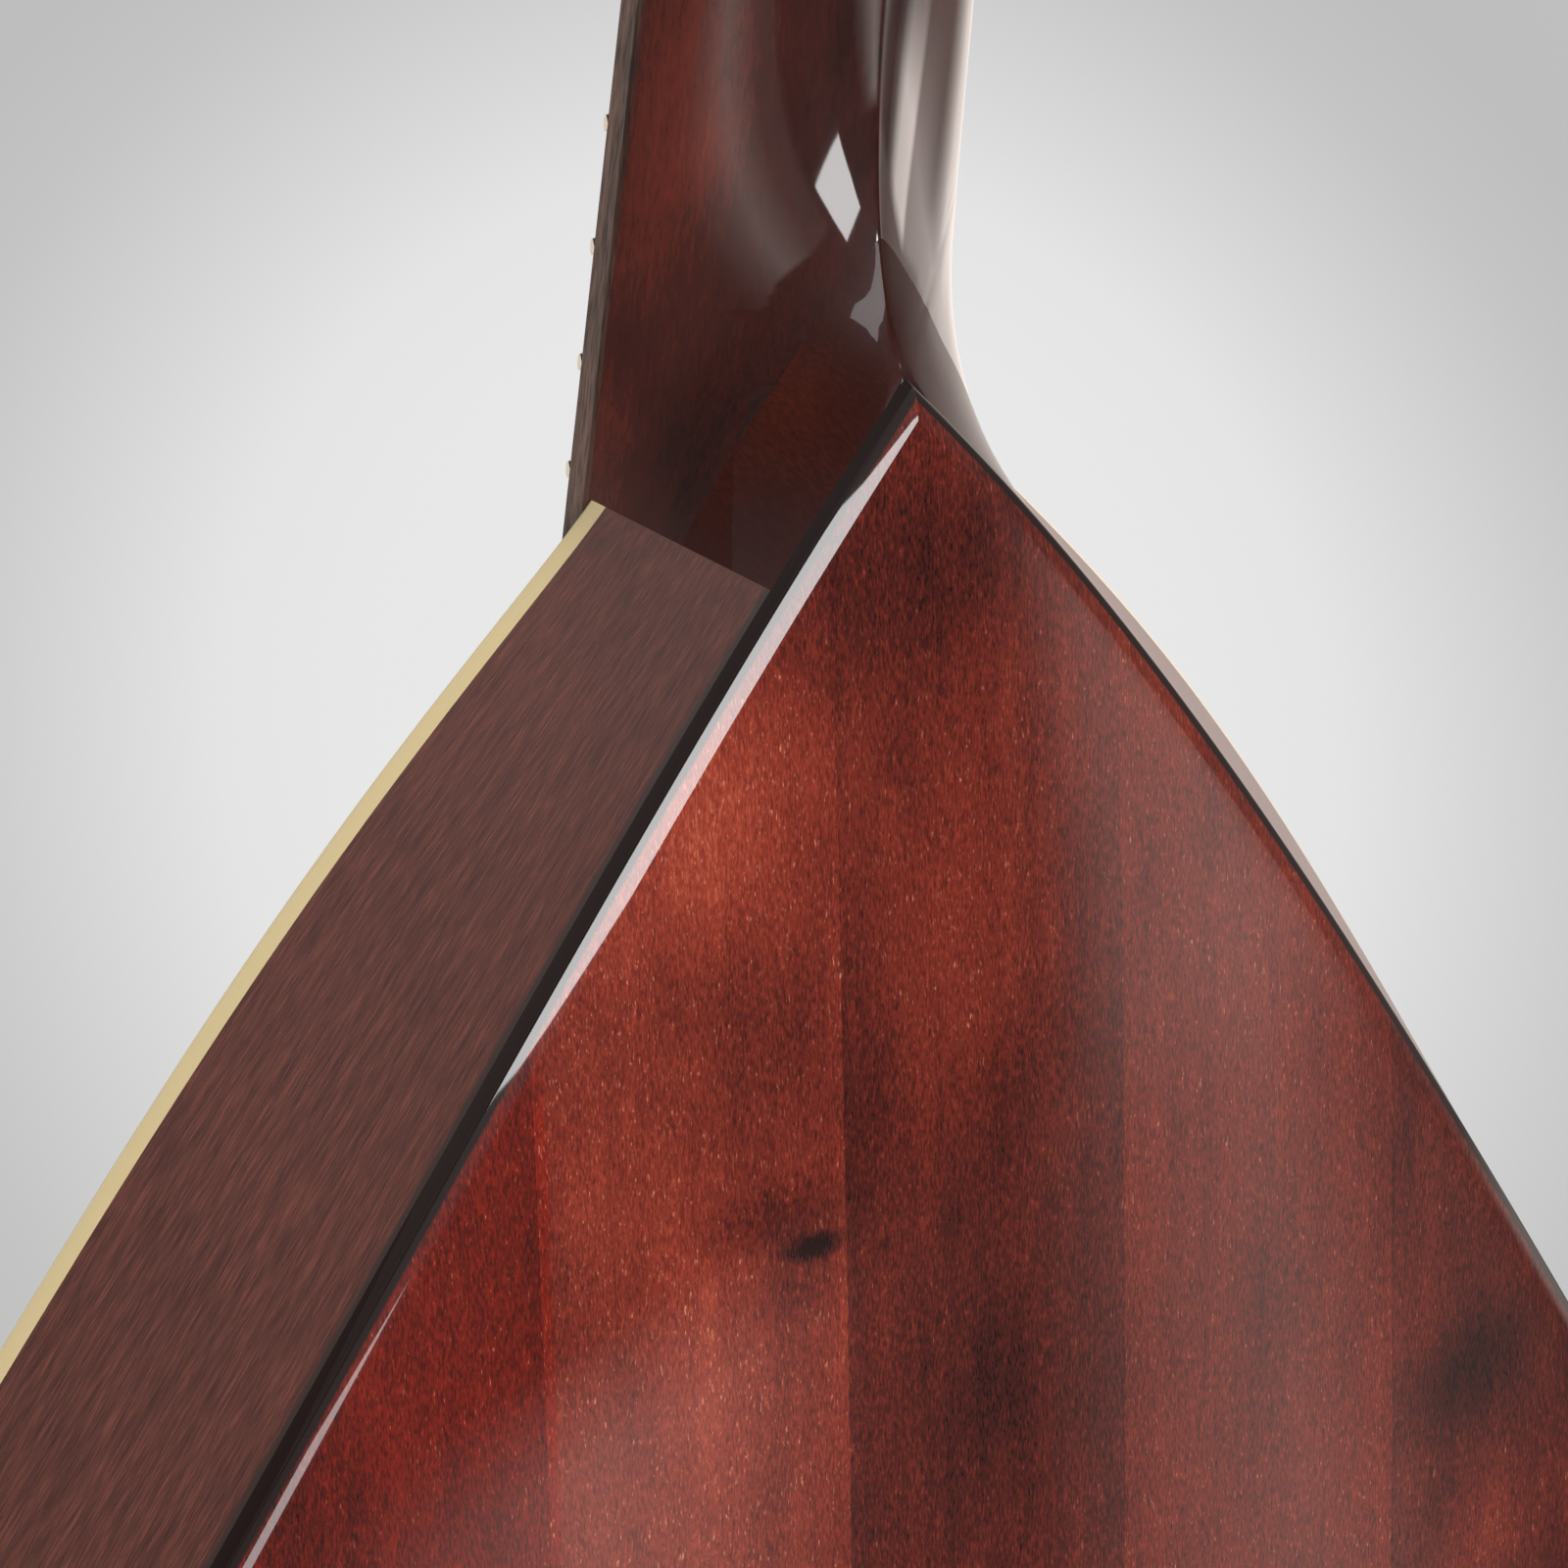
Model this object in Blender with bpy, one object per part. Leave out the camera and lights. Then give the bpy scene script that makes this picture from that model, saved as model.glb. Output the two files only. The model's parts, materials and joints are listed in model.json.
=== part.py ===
# Portuguese mandolin: teardrop body with an arched back, pointed heel, eight strings in four courses.
# Lengths are in millimetres and MM turns them into metres.
# +Z runs up the neck, the soundboard faces -Y and the back faces +Y.
# The origin is the middle of the nut's lower edge, in the plane where the fingerboard is glued.
import math

import bmesh
import bpy
from mathutils import Matrix, Vector

MM = 0.001
GAP = 0.3            # clearance between glued or resting pieces

# Neck and scale
SCALE_LENGTH = 350.0
BODY_FRET = 10       # fret at which the neck meets the body
LAST_FRET = 17
NUT_HALF_WIDTH = 13.5
JOINT_HALF_WIDTH = 17.0
FINGERBOARD_T = 4.2
FRET_WIDTH = 1.8
FRET_HEIGHT = 1.0
NUT_T = 4.2
NUT_CROWN = 1.1      # nut above the fingerboard
SHAFT_DEPTH_NUT = 12.0
SHAFT_DEPTH_HEEL = 12.6
SCOOP_LENGTH = 27.0  # the shaft turns into the heel over this length
HEEL_SHARPNESS = 1.12     # power of the section's curve: 1 is a wedge, 2 an ellipse
SHAFT_SHARPNESS = 1.47
HEEL_SPLIT_DEPTH = 12.5
HEEL_SPLIT_SLOPE = 0.09
SEAM_LEAN = 0.304    # the joint with the ribs climbs this much for each unit of depth

# Headstock
HEAD_ANGLE = 12.0
HEAD_LENGTH = 124.0
HEAD_HALF_WIDTH = 26.0
HEAD_T = 14.0
HEAD_FOOT_FLARE = 0.6     # the head is this much wider than the neck at the nut
HEAD_THROAT = 5.0         # length of the narrow part above the nut
HEAD_SHOULDER = 22.0      # full width is reached this far above the nut
HEAD_WAIST = 1.5          # the sides draw in by this between the shoulder and the corner
HEAD_CORNER = 16.0        # the top's curve starts this far below its end
HEAD_CROWN = 1.0          # rise of the top's middle

# Body outline, seen from the front: straight flanks into a round lower bout
LOWER_RADIUS = 115.0
FLANK_SLOPE = 0.516
FLANK_OFFSET = 28.0
SHOULDER_FADE = 31.0
SHOULDER_POWER = 1.3
RIM_LEAN = 3.6       # the ribs lean in by this much from front to back at the lower bout
BACK_POINT = 24.5    # the back's point stands this far above the joint
BACK_FADE = 38.0
RIM_DEPTH = 40.5
RIM_DEPTH_DROP = 12.0
RIM_DEPTH_FADE = 85.0
BACK_CROWN = 20.5
RIB_T = 2.0
TOP_T = 2.0
BACK_T = 2.5
BINDING_W = 1.8
BINDING_H = 2.0

# Inside the body
BLOCK_LENGTH = 28.0
TAIL_BLOCK_T = 18.0
LINING_W = 5.0
LINING_H = 6.0
BRACE_W = 6.0
TOP_BRACE_H = 10.0
BACK_BRACE_H = 4.0        # at its ends, before the arch adds to it
BRACE_FOOT_H = 2.0        # height left at a brace's tips
BRACE_TAPER = 16.0        # length over which a brace thins towards each tip
TOP_BRACES = (74.0, 150.0, 246.0)      # distances below the joint
BACK_BRACES = (96.0, 206.0)

# Soundhole, rosette and pickguard
HOLE_CENTRE = 112.0
HOLE_HALF_WIDTH = 33.0
HOLE_HALF_HEIGHT = 23.0
ROSETTE_MARGIN = 3.0
ROSETTE_W = 5.0
ROSETTE_T = 0.9
GUARD_T = 1.0
GUARD_MARGIN = 2.0        # between rosette and pickguard
GUARD_WIDTH = 44.0
GUARD_LENGTH = 26.0

# Bridge and strings
BRIDGE_HALF_LENGTH = 43.0
BRIDGE_W = 10.0
BRIDGE_H = 5.6
BRIDGE_TIP_H = 1.6
BRIDGE_STEP_H = 3.2       # where the tips meet the raised middle
BRIDGE_STEP = 8.0
SADDLE_HALF_LENGTH = 24.0
SADDLE_SEAT = 2.0         # the bridge's top is this much longer than the saddle at each end
SADDLE_W = 2.6
SADDLE_EASE = 3.0         # length of the saddle's sloping ends
SADDLE_EASE_H = 0.6
STRING_AT_NUT = 6.2       # string centre above the glue plane
STRING_AT_BRIDGE = 8.9
COURSE_AT_NUT = 6.4       # distance between courses
COURSE_AT_BRIDGE = 10.4
PAIR_AT_NUT = 2.0
PAIR_AT_BRIDGE = 2.8
COURSE_AT_TAIL = 7.4
PAIR_AT_TAIL = 3.2
STRING_DIAMETERS = (0.95, 0.66, 0.38, 0.30)   # bass course to treble course
STRING_TURNS = 2.5
TURN_POINTS = 10
TURN_GAP = 0.5

# Tuners
POST_X = 18.0
POST_FIRST = 28.0
POST_TOP_MARGIN = 24.0    # from the last post to the end of the headstock
POST_PITCH = (HEAD_LENGTH - POST_FIRST - POST_TOP_MARGIN) / 3
POST_R = 3.0
POST_RISE = 9.0
POST_HOLE_R = 3.8
GEAR_TEETH = 14
GEAR_R = 4.6
GEAR_ROOT_R = 3.6
GEAR_T = 3.6
WORM_R = 2.2
WORM_LENGTH = 7.0
SHAFT_R = 1.3
PLATE_T = 1.0
PLATE_WIDTH = 13.0
PLATE_MARGIN = 4.0
LUG_T = 1.2
WORM_TAIL = 0.8           # shaft that stands out past the inner lug
BUTTON_START = 31.0
BUTTON_LENGTH = 11.0
BUTTON_HALF_WIDTH = 7.0
BUTTON_HALF_T = 3.0

# Tailpiece and end button
TAILPIECE_HALF_WIDTH = 17.0
TAILPIECE_T = 1.0
TAILPIECE_REACH = 34.0
TAILPIECE_DROP = 16.0
HOOK_H = 2.4
HOOK_W = 1.8
HOOK_SETBACK = 12.0
COVER_HEIGHT = 7.0
COVER_T = 0.8
COVER_CORNER = 3.0
COVER_LENGTH = 30.0
END_BUTTON_R = 7.0
END_BUTTON_LENGTH = 12.0
END_BUTTON_FOOT_R = 4.6
END_BUTTON_WAIST_R = 3.4
END_BUTTON_HEAD = 4.0     # length of the wide end
END_BUTTON_EASE = 1.2     # rounding of the wide end
END_BUTTON_ROOM = 3.0     # between the tailpiece and the button

RED_BROWN = (0.13, 0.022, 0.012)
DARK_BROWN = (0.055, 0.02, 0.014)
SPRUCE = (0.62, 0.36, 0.15)
CREAM = (0.72, 0.64, 0.42)
ROSEWOOD = (0.035, 0.018, 0.012)
BONE = (0.82, 0.78, 0.66)
NICKEL = (0.62, 0.60, 0.56)
BRASS = (0.60, 0.42, 0.18)
STEEL = (0.55, 0.55, 0.56)
BLOCK_WOOD = (0.45, 0.27, 0.13)
SHELL = (0.05, 0.015, 0.008)


# Values that follow from the sizes above
def fret_distance(number):
    return SCALE_LENGTH * (1 - 2 ** (-number / 12))


NECK_LENGTH = fret_distance(BODY_FRET)
FLANK_ANGLE = math.atan(FLANK_SLOPE)
BOUT_CENTRE = (LOWER_RADIUS / math.cos(FLANK_ANGLE) - FLANK_OFFSET) / FLANK_SLOPE
BACK_RADIUS = LOWER_RADIUS - RIM_LEAN
BACK_OFFSET = BACK_RADIUS / math.cos(FLANK_ANGLE) - FLANK_SLOPE * BOUT_CENTRE
BACK_SHOULDER = BACK_OFFSET - FLANK_SLOPE * BACK_POINT
BODY_LENGTH = BOUT_CENTRE + LOWER_RADIUS
BRIDGE_Y = SCALE_LENGTH - NECK_LENGTH
HEAD_PIVOT = NUT_T + GAP
FLANK_STATIONS = 12
BOUT_STATIONS = 16


def clear_scene():
    for thing in list(bpy.data.objects):
        bpy.data.objects.remove(thing, do_unlink=True)


def make_material(name, colour, roughness, metallic=0.0):
    material = bpy.data.materials.new(name)
    material.use_nodes = True
    shader = material.node_tree.nodes["Principled BSDF"]
    shader.inputs["Base Color"].default_value = (*colour, 1.0)
    shader.inputs["Roughness"].default_value = roughness
    shader.inputs["Metallic"].default_value = metallic
    return material


def finish(bm, name, colour, roughness, metallic=0.0, origin=None):
    """Turn a bmesh in millimetres into a named object in metres, with its origin at the given point."""
    bmesh.ops.remove_doubles(bm, verts=bm.verts, dist=0.00001)
    bmesh.ops.recalc_face_normals(bm, faces=bm.faces)
    origin = Vector(origin) if origin else Vector((0, 0, 0))
    bmesh.ops.transform(bm, matrix=Matrix.Scale(MM, 4) @ Matrix.Translation(-origin), verts=bm.verts)
    mesh = bpy.data.meshes.new(name)
    bm.to_mesh(mesh)
    bm.free()
    mesh.shade_smooth()
    mesh.set_sharp_from_angle(angle=math.radians(35))
    mesh.materials.append(make_material(name, colour, roughness, metallic))
    thing = bpy.data.objects.new(name, mesh)
    thing.location = origin * MM
    bpy.context.scene.collection.objects.link(thing)
    return thing


def make_cutter(bm, name):
    cutter = finish(bm, name, (0.5, 0.5, 0.5), 0.5)
    cutter.hide_render = True
    cutter.display_type = "WIRE"
    return cutter


def boolean(thing, cutter, operation):
    modifier = thing.modifiers.new(cutter.name, "BOOLEAN")
    modifier.operation = operation
    modifier.solver = "EXACT"
    modifier.object = cutter


def loft(rings, bm=None, closed=False):
    """Skin rings of equal length; open lofts get flat ends."""
    bm = bm or bmesh.new()
    rows = [[bm.verts.new(point) for point in ring] for ring in rings]
    size = len(rows[0])
    pairs = list(zip(rows, rows[1:])) + ([(rows[-1], rows[0])] if closed else [])
    for first, second in pairs:
        for i in range(size):
            j = (i + 1) % size
            bm.faces.new((first[i], first[j], second[j], second[i]))
    if not closed:
        bm.faces.new(list(reversed(rows[0])))
        bm.faces.new(rows[-1])
    return bm


def extrude_outline(outline, lower, upper, bm=None):
    """A prism between two maps that turn an outline's points into places in space."""
    return loft([[lower(p) for p in outline], [upper(p) for p in outline]], bm)


def box(bm, low, high):
    corners = [(low[0], low[1]), (high[0], low[1]), (high[0], high[1]), (low[0], high[1])]
    return loft([[(x, y, low[2]) for x, y in corners], [(x, y, high[2]) for x, y in corners]], bm)


def turned(profile, frame, sides, bm=None):
    """Turn a profile of (distance along, radius) pairs about the frame's third axis."""
    rings = []
    for along, radius in profile:
        ring = []
        for k in range(sides):
            angle = 2 * math.pi * k / sides
            ring.append(frame @ Vector((radius * math.cos(angle), radius * math.sin(angle), along)))
        rings.append(ring)
    return loft(rings, bm)


# Body shape
def place(x, depth, below):
    """A point given by its side distance, its depth behind the soundboard and its distance below the joint."""
    return Vector((x, depth, -(NECK_LENGTH + below)))


def front_half(y):
    tangent = BOUT_CENTRE - LOWER_RADIUS * math.sin(FLANK_ANGLE)
    if y > tangent:
        return math.sqrt(max(LOWER_RADIUS ** 2 - (y - BOUT_CENTRE) ** 2, 0.0))
    shoulder = FLANK_OFFSET - JOINT_HALF_WIDTH
    fade = 1 - math.exp(-(max(y, 0.0) / SHOULDER_FADE) ** SHOULDER_POWER)
    return JOINT_HALF_WIDTH + FLANK_SLOPE * y + shoulder * fade


def back_half(y):
    tangent = BOUT_CENTRE - BACK_RADIUS * math.sin(FLANK_ANGLE)
    if y > tangent:
        return math.sqrt(max(BACK_RADIUS ** 2 - (y - BOUT_CENTRE) ** 2, 0.0))
    u = max(y + BACK_POINT, 0.0)
    return FLANK_SLOPE * u + BACK_SHOULDER * (1 - math.exp(-u / BACK_FADE))


def rim_depth(y):
    return RIM_DEPTH - RIM_DEPTH_DROP * math.exp(-y / RIM_DEPTH_FADE)


def seam_back_y():
    """Where the seam between heel and ribs meets the back, below the joint (so it is negative)."""
    y = 0.0
    for _ in range(8):
        y = -SEAM_LEAN * (rim_depth(y) - BACK_T)
    return y


def crown(y):
    share = min(max((y + BACK_POINT) / (BACK_POINT + BOUT_CENTRE + BACK_RADIUS), 0.0), 1.0)
    return BACK_CROWN * math.sin(math.pi * share ** 1.5)


def half_outline(half, start, radius):
    """Points of one side, from the neck to the middle of the tail."""
    tangent = BOUT_CENTRE - radius * math.sin(FLANK_ANGLE)
    points = []
    for k in range(FLANK_STATIONS):
        y = start + (tangent - start) * (k / FLANK_STATIONS) ** 1.25
        points.append((half(y), y))
    for k in range(BOUT_STATIONS + 1):
        angle = -FLANK_ANGLE + (math.pi / 2 + FLANK_ANGLE) * k / BOUT_STATIONS
        points.append((radius * math.cos(angle), BOUT_CENTRE + radius * math.sin(angle)))
    return points


FRONT = half_outline(front_half, 0.0, LOWER_RADIUS)
BACK = half_outline(back_half, seam_back_y(), BACK_RADIUS)
STATIONS = len(FRONT)


def inset_point(points, i, inset):
    """Move an outline point inwards along its own normal."""
    before = points[max(i - 1, 0)]
    after = points[min(i + 1, len(points) - 1)]
    along = Vector((after[0] - before[0], after[1] - before[1])).normalized()
    if i == len(points) - 1:
        along = Vector((-1.0, 0.0))
    if i == 0:
        # the end at the heel is cut square to the neck, so it only moves sideways
        return Vector((points[0][0] - inset / along.y, points[0][1]))
    return Vector((points[i][0] - along.y * inset, points[i][1] + along.x * inset))


def rim_point(i, depth, inset, side):
    front = inset_point(FRONT, i, inset)
    back = inset_point(BACK, i, inset)
    share = depth / rim_depth(BACK[i][1])
    spot = front.lerp(back, share)
    x = max(spot.x, GAP / 2) if i == STATIONS - 1 else spot.x
    return place(side * x, depth, spot.y)


def back_inside(i):
    """Depth of the back's inner face at a rim station."""
    return rim_depth(BACK[i][1]) - BACK_T


def rim_strip(first, last, side, near, far, outer, inner):
    """A strip that follows one side of the rim between two depths and two insets."""
    rings = []
    for i in range(first, last + 1):
        corners = ((near(i), outer), (far(i), outer), (far(i), inner), (near(i), inner))
        rings.append([rim_point(i, depth, inset, side) for depth, inset in corners])
    return loft(rings)


def rim_loop(first, near, far, outer, inner):
    """The same strip run round the tail from one side of the neck to the other."""
    rings = []
    for side, order in ((1, range(first, STATIONS)), (-1, range(STATIONS - 2, first - 1, -1))):
        for i in order:
            corners = ((near(i), outer), (far(i), outer), (far(i), inner), (near(i), inner))
            rings.append([rim_point(i, depth, inset, side) for depth, inset in corners])
    return loft(rings)


SIDES = (("bass", -1), ("treble", 1))


def make_ribs_and_binding():
    last = STATIONS - 1
    for label, side in SIDES:
        rib = rim_strip(0, last, side, lambda i: BINDING_H + GAP, lambda i: back_inside(i) - GAP, 0.0, RIB_T)
        finish(rib, "rib_" + label, DARK_BROWN, 0.45)
        edge = rim_strip(0, last, side, lambda i: 0.0, lambda i: BINDING_H, 0.0, BINDING_W)
        finish(edge, "binding_" + label, CREAM, 0.35)


def ellipse(half_width, half_height, centre, count=40):
    points = []
    for k in range(count):
        angle = 2 * math.pi * k / count
        points.append((half_width * math.cos(angle), centre + half_height * math.sin(angle)))
    return points


def hole_ring(grow_in, grow_out, near, far, bm=None):
    """A flat ring round the soundhole, between two margins and two depths."""
    inner = ellipse(HOLE_HALF_WIDTH + grow_in, HOLE_HALF_HEIGHT + grow_in, HOLE_CENTRE)
    outer = ellipse(HOLE_HALF_WIDTH + grow_out, HOLE_HALF_HEIGHT + grow_out, HOLE_CENTRE)
    rings = []
    for a, b in zip(inner, outer):
        rings.append([place(a[0], near, a[1]), place(b[0], near, b[1]),
                      place(b[0], far, b[1]), place(a[0], far, a[1])])
    return loft(rings, bm, closed=True)


def make_soundboard():
    inset = BINDING_W + GAP
    treble = [inset_point(FRONT, i, inset) for i in range(STATIONS)]
    outline = [(p.x, p.y) for p in treble] + [(-p.x, p.y) for p in reversed(treble[:-1])]
    bm = extrude_outline(outline, lambda p: place(p[0], 0.0, p[1]), lambda p: place(p[0], TOP_T, p[1]))
    board = finish(bm, "soundboard", SPRUCE, 0.3)
    hole = ellipse(HOLE_HALF_WIDTH, HOLE_HALF_HEIGHT, HOLE_CENTRE)
    cut = extrude_outline(hole, lambda p: place(p[0], -TOP_T, p[1]), lambda p: place(p[0], 2 * TOP_T, p[1]))
    boolean(board, make_cutter(cut, "soundhole_cutter"), "DIFFERENCE")
    groove = hole_ring(ROSETTE_MARGIN - GAP, ROSETTE_MARGIN + ROSETTE_W + GAP, -1.0, ROSETTE_T + GAP)
    boolean(board, make_cutter(groove, "rosette_cutter"), "DIFFERENCE")
    ring = hole_ring(ROSETTE_MARGIN, ROSETTE_MARGIN + ROSETTE_W, 0.0, ROSETTE_T)
    finish(ring, "rosette", ROSEWOOD, 0.35)


def back_rows():
    """Rows of the back plate, each a half width and a distance below the joint."""
    start = BACK[0][1]
    rows = [(0.0, -BACK_POINT)]
    for k in range(1, 5):
        y = -BACK_POINT + (start + BACK_POINT) * k / 5
        rows.append((back_half(y), y))
    return rows + BACK[:-1] + [(0.0, BACK[-1][1])]


def make_back_plate(columns=8):
    """Two grids, the outer and the inner face, joined at their side edges."""
    bm = bmesh.new()
    rows = back_rows()
    grids = []
    for drop in (0.0, BACK_T):
        grid = []
        for half, y in rows:
            line = []
            for k in range(columns + 1):
                u = 2 * k / columns - 1
                depth = rim_depth(y) - drop + crown(y) * (1 - u * u)
                line.append(bm.verts.new(place(u * half, depth, y)))
            grid.append(line)
        grids.append(grid)
    outer, inner = grids
    for grid in grids:
        for a, b in zip(grid, grid[1:]):
            for k in range(columns):
                bm.faces.new((a[k], a[k + 1], b[k + 1], b[k]))
    for k in (0, columns):
        for i in range(len(rows) - 1):
            bm.faces.new((outer[i][k], outer[i + 1][k], inner[i + 1][k], inner[i][k]))
    bmesh.ops.remove_doubles(bm, verts=bm.verts, dist=0.001)
    bmesh.ops.dissolve_degenerate(bm, edges=bm.edges, dist=0.001)
    finish(bm, "back_plate", RED_BROWN, 0.12)


def block_stations():
    return max(i for i in range(STATIONS) if FRONT[i][1] <= BLOCK_LENGTH)


def make_blocks():
    rings = []
    for i in range(block_stations() + 1):
        inset = RIB_T + GAP
        near, far = TOP_T + GAP, back_inside(i) - GAP
        rings.append([rim_point(i, near, inset, 1), rim_point(i, far, inset, 1),
                      rim_point(i, far, inset, -1), rim_point(i, near, inset, -1)])
    finish(loft(rings), "neck_block", BLOCK_WOOD, 0.7)
    rings = []
    order = [(1, i) for i in range(STATIONS - 3, STATIONS)] + [(-1, i) for i in (STATIONS - 2, STATIONS - 3)]
    for side, i in order:
        near = TOP_T + LINING_H + 2 * GAP
        far = back_inside(i) - LINING_H - 2 * GAP
        outer = [rim_point(i, near, RIB_T + GAP, side), rim_point(i, far, RIB_T + GAP, side)]
        level = place(0, 0, BOUT_CENTRE + BACK_RADIUS - TAIL_BLOCK_T).z
        inner = [Vector((p.x, p.y, level)) for p in reversed(outer)]
        rings.append(outer + inner)
    finish(loft(rings), "tail_block", BLOCK_WOOD, 0.7)


def make_linings():
    first = block_stations() + 1
    outer = RIB_T + GAP
    top = rim_loop(first, lambda i: TOP_T + GAP, lambda i: TOP_T + GAP + LINING_H, outer, outer + LINING_W)
    finish(top, "top_lining", BLOCK_WOOD, 0.7)
    back = rim_loop(first, lambda i: back_inside(i) - GAP - LINING_H, lambda i: back_inside(i) - GAP,
                    outer, outer + LINING_W)
    finish(back, "back_lining", BLOCK_WOOD, 0.7)


def brace_reach(y, half):
    """Half the length that fits between the linings at a distance below the joint."""
    side_room = (RIB_T + LINING_W + 3 * GAP) / math.cos(FLANK_ANGLE)
    return min(half(y - BRACE_W / 2), half(y + BRACE_W / 2)) - side_room - RIM_LEAN


def make_braces():
    for number, y in enumerate(TOP_BRACES, 1):
        reach = brace_reach(y, front_half)
        near = TOP_T + GAP
        middle = reach - BRACE_TAPER
        outline = [(-reach, near), (reach, near), (reach, near + BRACE_FOOT_H), (middle, near + TOP_BRACE_H),
                   (-middle, near + TOP_BRACE_H), (-reach, near + BRACE_FOOT_H)]
        bm = extrude_outline(outline, lambda p, y=y: place(p[0], p[1], y - BRACE_W / 2),
                             lambda p, y=y: place(p[0], p[1], y + BRACE_W / 2))
        finish(bm, "top_brace_" + str(number), BLOCK_WOOD, 0.7)
    for number, y in enumerate(BACK_BRACES, 1):
        reach = brace_reach(y, back_half)
        middle = reach - BRACE_TAPER
        foot = back_under(reach, y) - BRACE_FOOT_H
        low = back_under(reach, y) - BACK_BRACE_H
        steps = 8
        rings = []
        for end in (-BRACE_W / 2, BRACE_W / 2):
            ring = []
            for k in range(steps + 1):
                x = reach * (2 * k / steps - 1)
                ring.append(place(x, back_under(x, y), y + end))
            for x, depth in ((reach, foot), (middle, low), (-middle, low), (-reach, foot)):
                ring.append(place(x, depth, y + end))
            rings.append(ring)
        finish(loft(rings), "back_brace_" + str(number), BLOCK_WOOD, 0.7)


def back_under(x, y):
    """Depth just inside the back plate over a brace, clear of the facets of the plate."""
    room = min(back_under_at(x, y - BRACE_W / 2), back_under_at(x, y + BRACE_W / 2))
    return room - BACK_T - 3 * GAP


def back_under_at(x, y):
    return rim_depth(y) + crown(y) * (1 - (x / back_half(y)) ** 2)


def make_pickguard():
    top = HOLE_CENTRE + HOLE_HALF_HEIGHT + ROSETTE_MARGIN + ROSETTE_W + GUARD_MARGIN
    half = GUARD_WIDTH / 2
    outline = [(-half, top), (half, top)]
    for k in range(1, 12):
        angle = math.pi * k / 12
        outline.append((half * math.cos(angle), top + GUARD_LENGTH * math.sin(angle)))
    bm = extrude_outline(outline, lambda p: place(p[0], -GAP, p[1]),
                         lambda p: place(p[0], -GAP - GUARD_T, p[1]))
    finish(bm, "pickguard", SHELL, 0.15)


# Neck
def neck_half(up):
    """Half the fingerboard's width at a height above the joint."""
    return JOINT_HALF_WIDTH + (NUT_HALF_WIDTH - JOINT_HALF_WIDTH) * up / NECK_LENGTH


def ridge_depth(up):
    """Depth of the neck's middle line: a straight shaft that scoops down into the heel."""
    shaft = SHAFT_DEPTH_HEEL + (SHAFT_DEPTH_NUT - SHAFT_DEPTH_HEEL) * up / NECK_LENGTH
    end = rim_depth(-BACK_POINT) - BACK_T - GAP
    share = min(max((BACK_POINT + SCOOP_LENGTH - up) / SCOOP_LENGTH, 0.0), 1.0)
    return shaft + (end - shaft) * (1 - (1 - share ** 2.6) ** 0.62)


def neck_section(up, lean, steps=6):
    """One section of the neck, from the treble edge round the back to the bass edge."""
    side = []
    half = neck_half(up)
    if up >= BACK_POINT:
        depth = ridge_depth(up)
        share = min((up - BACK_POINT) / SCOOP_LENGTH, 1.0)
        power = HEEL_SHARPNESS + (SHAFT_SHARPNESS - HEEL_SHARPNESS) * share ** 0.8
        for k in range(steps + 1):
            angle = math.pi / 2 * k / steps
            side.append((half * math.cos(angle) ** (2 / power), depth * math.sin(angle) ** (2 / power)))
    else:
        far_up = up
        for _ in range(6):
            far_depth = rim_depth(-far_up) - BACK_T - GAP
            far_up = up + lean * far_depth
        far_half = back_half(-far_up)
        for k in range(steps):
            share = k / (steps - 1)
            side.append((half + (far_half - half) * share, far_depth * share))
        side.append((0.0, far_depth))
    points = []
    for x, depth in side:
        points.append(Vector((x, depth, up + lean * depth - NECK_LENGTH)))
    for x, depth in reversed(side[:-1]):
        points.append(Vector((-x, depth, up + lean * depth - NECK_LENGTH)))
    return points


def neck_body():
    """Shaft and heel in one, from the seam with the ribs to just inside the headstock."""
    tip_up = BACK_POINT
    rings = []
    for share in (0.0, 0.3, 0.6, 0.8, 0.93):
        rings.append(neck_section(GAP + share * (tip_up - GAP), seam_lean_at(share)))
    for k in range(9):
        rings.append(neck_section(tip_up + SCOOP_LENGTH * (k / 8) ** 1.2, 0.0))
    for share in (0.5, 1.0):
        start = tip_up + SCOOP_LENGTH
        rings.append(neck_section(start + (NECK_LENGTH - start) * share, 0.0))
    end = [Vector((p.x, p.y + 1.2, p.z + HEAD_PIVOT + 2.6)) for p in rings[-1]]
    rings.append(neck_section(NECK_LENGTH + HEAD_PIVOT - 0.6, 0.0))
    rings.append(end)
    return loft(rings)


def seam_lean_at(share):
    """The sections turn from the leaning seam to square across the neck."""
    return SEAM_LEAN * (1 - share)


HEAD_FRAME = (Matrix.Translation((0, 0, HEAD_PIVOT))
              @ Matrix.Rotation(math.radians(-HEAD_ANGLE), 4, "X"))


def head_point(x, rise, along):
    """A place on the headstock: sideways, above its front face, and up from the nut."""
    return HEAD_FRAME @ Vector((x, -rise, along))


def head_outline():
    """From the nut out to the shoulder, in at the waist, and round the top."""
    foot = neck_half(NECK_LENGTH) + HEAD_FOOT_FLARE
    full = HEAD_HALF_WIDTH
    side = [(foot, 0.0)]
    for k in range(5):
        share = k / 4
        rise = HEAD_THROAT + (HEAD_SHOULDER - HEAD_THROAT) * share
        side.append((foot + (full - foot) * (0.1 + 0.9 * math.sin(math.pi / 2 * share)), rise))
    side.append((full - HEAD_WAIST, (HEAD_SHOULDER + HEAD_LENGTH - HEAD_CORNER) / 2))
    for k in range(5):
        angle = math.pi / 2 * k / 4
        side.append((full * math.cos(angle) ** 0.7, HEAD_LENGTH - HEAD_CORNER * (1 - math.sin(angle))))
    side[-1] = (0.0, HEAD_LENGTH + HEAD_CROWN)
    return side + [(-x, y) for x, y in reversed(side[:-1])]


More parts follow.
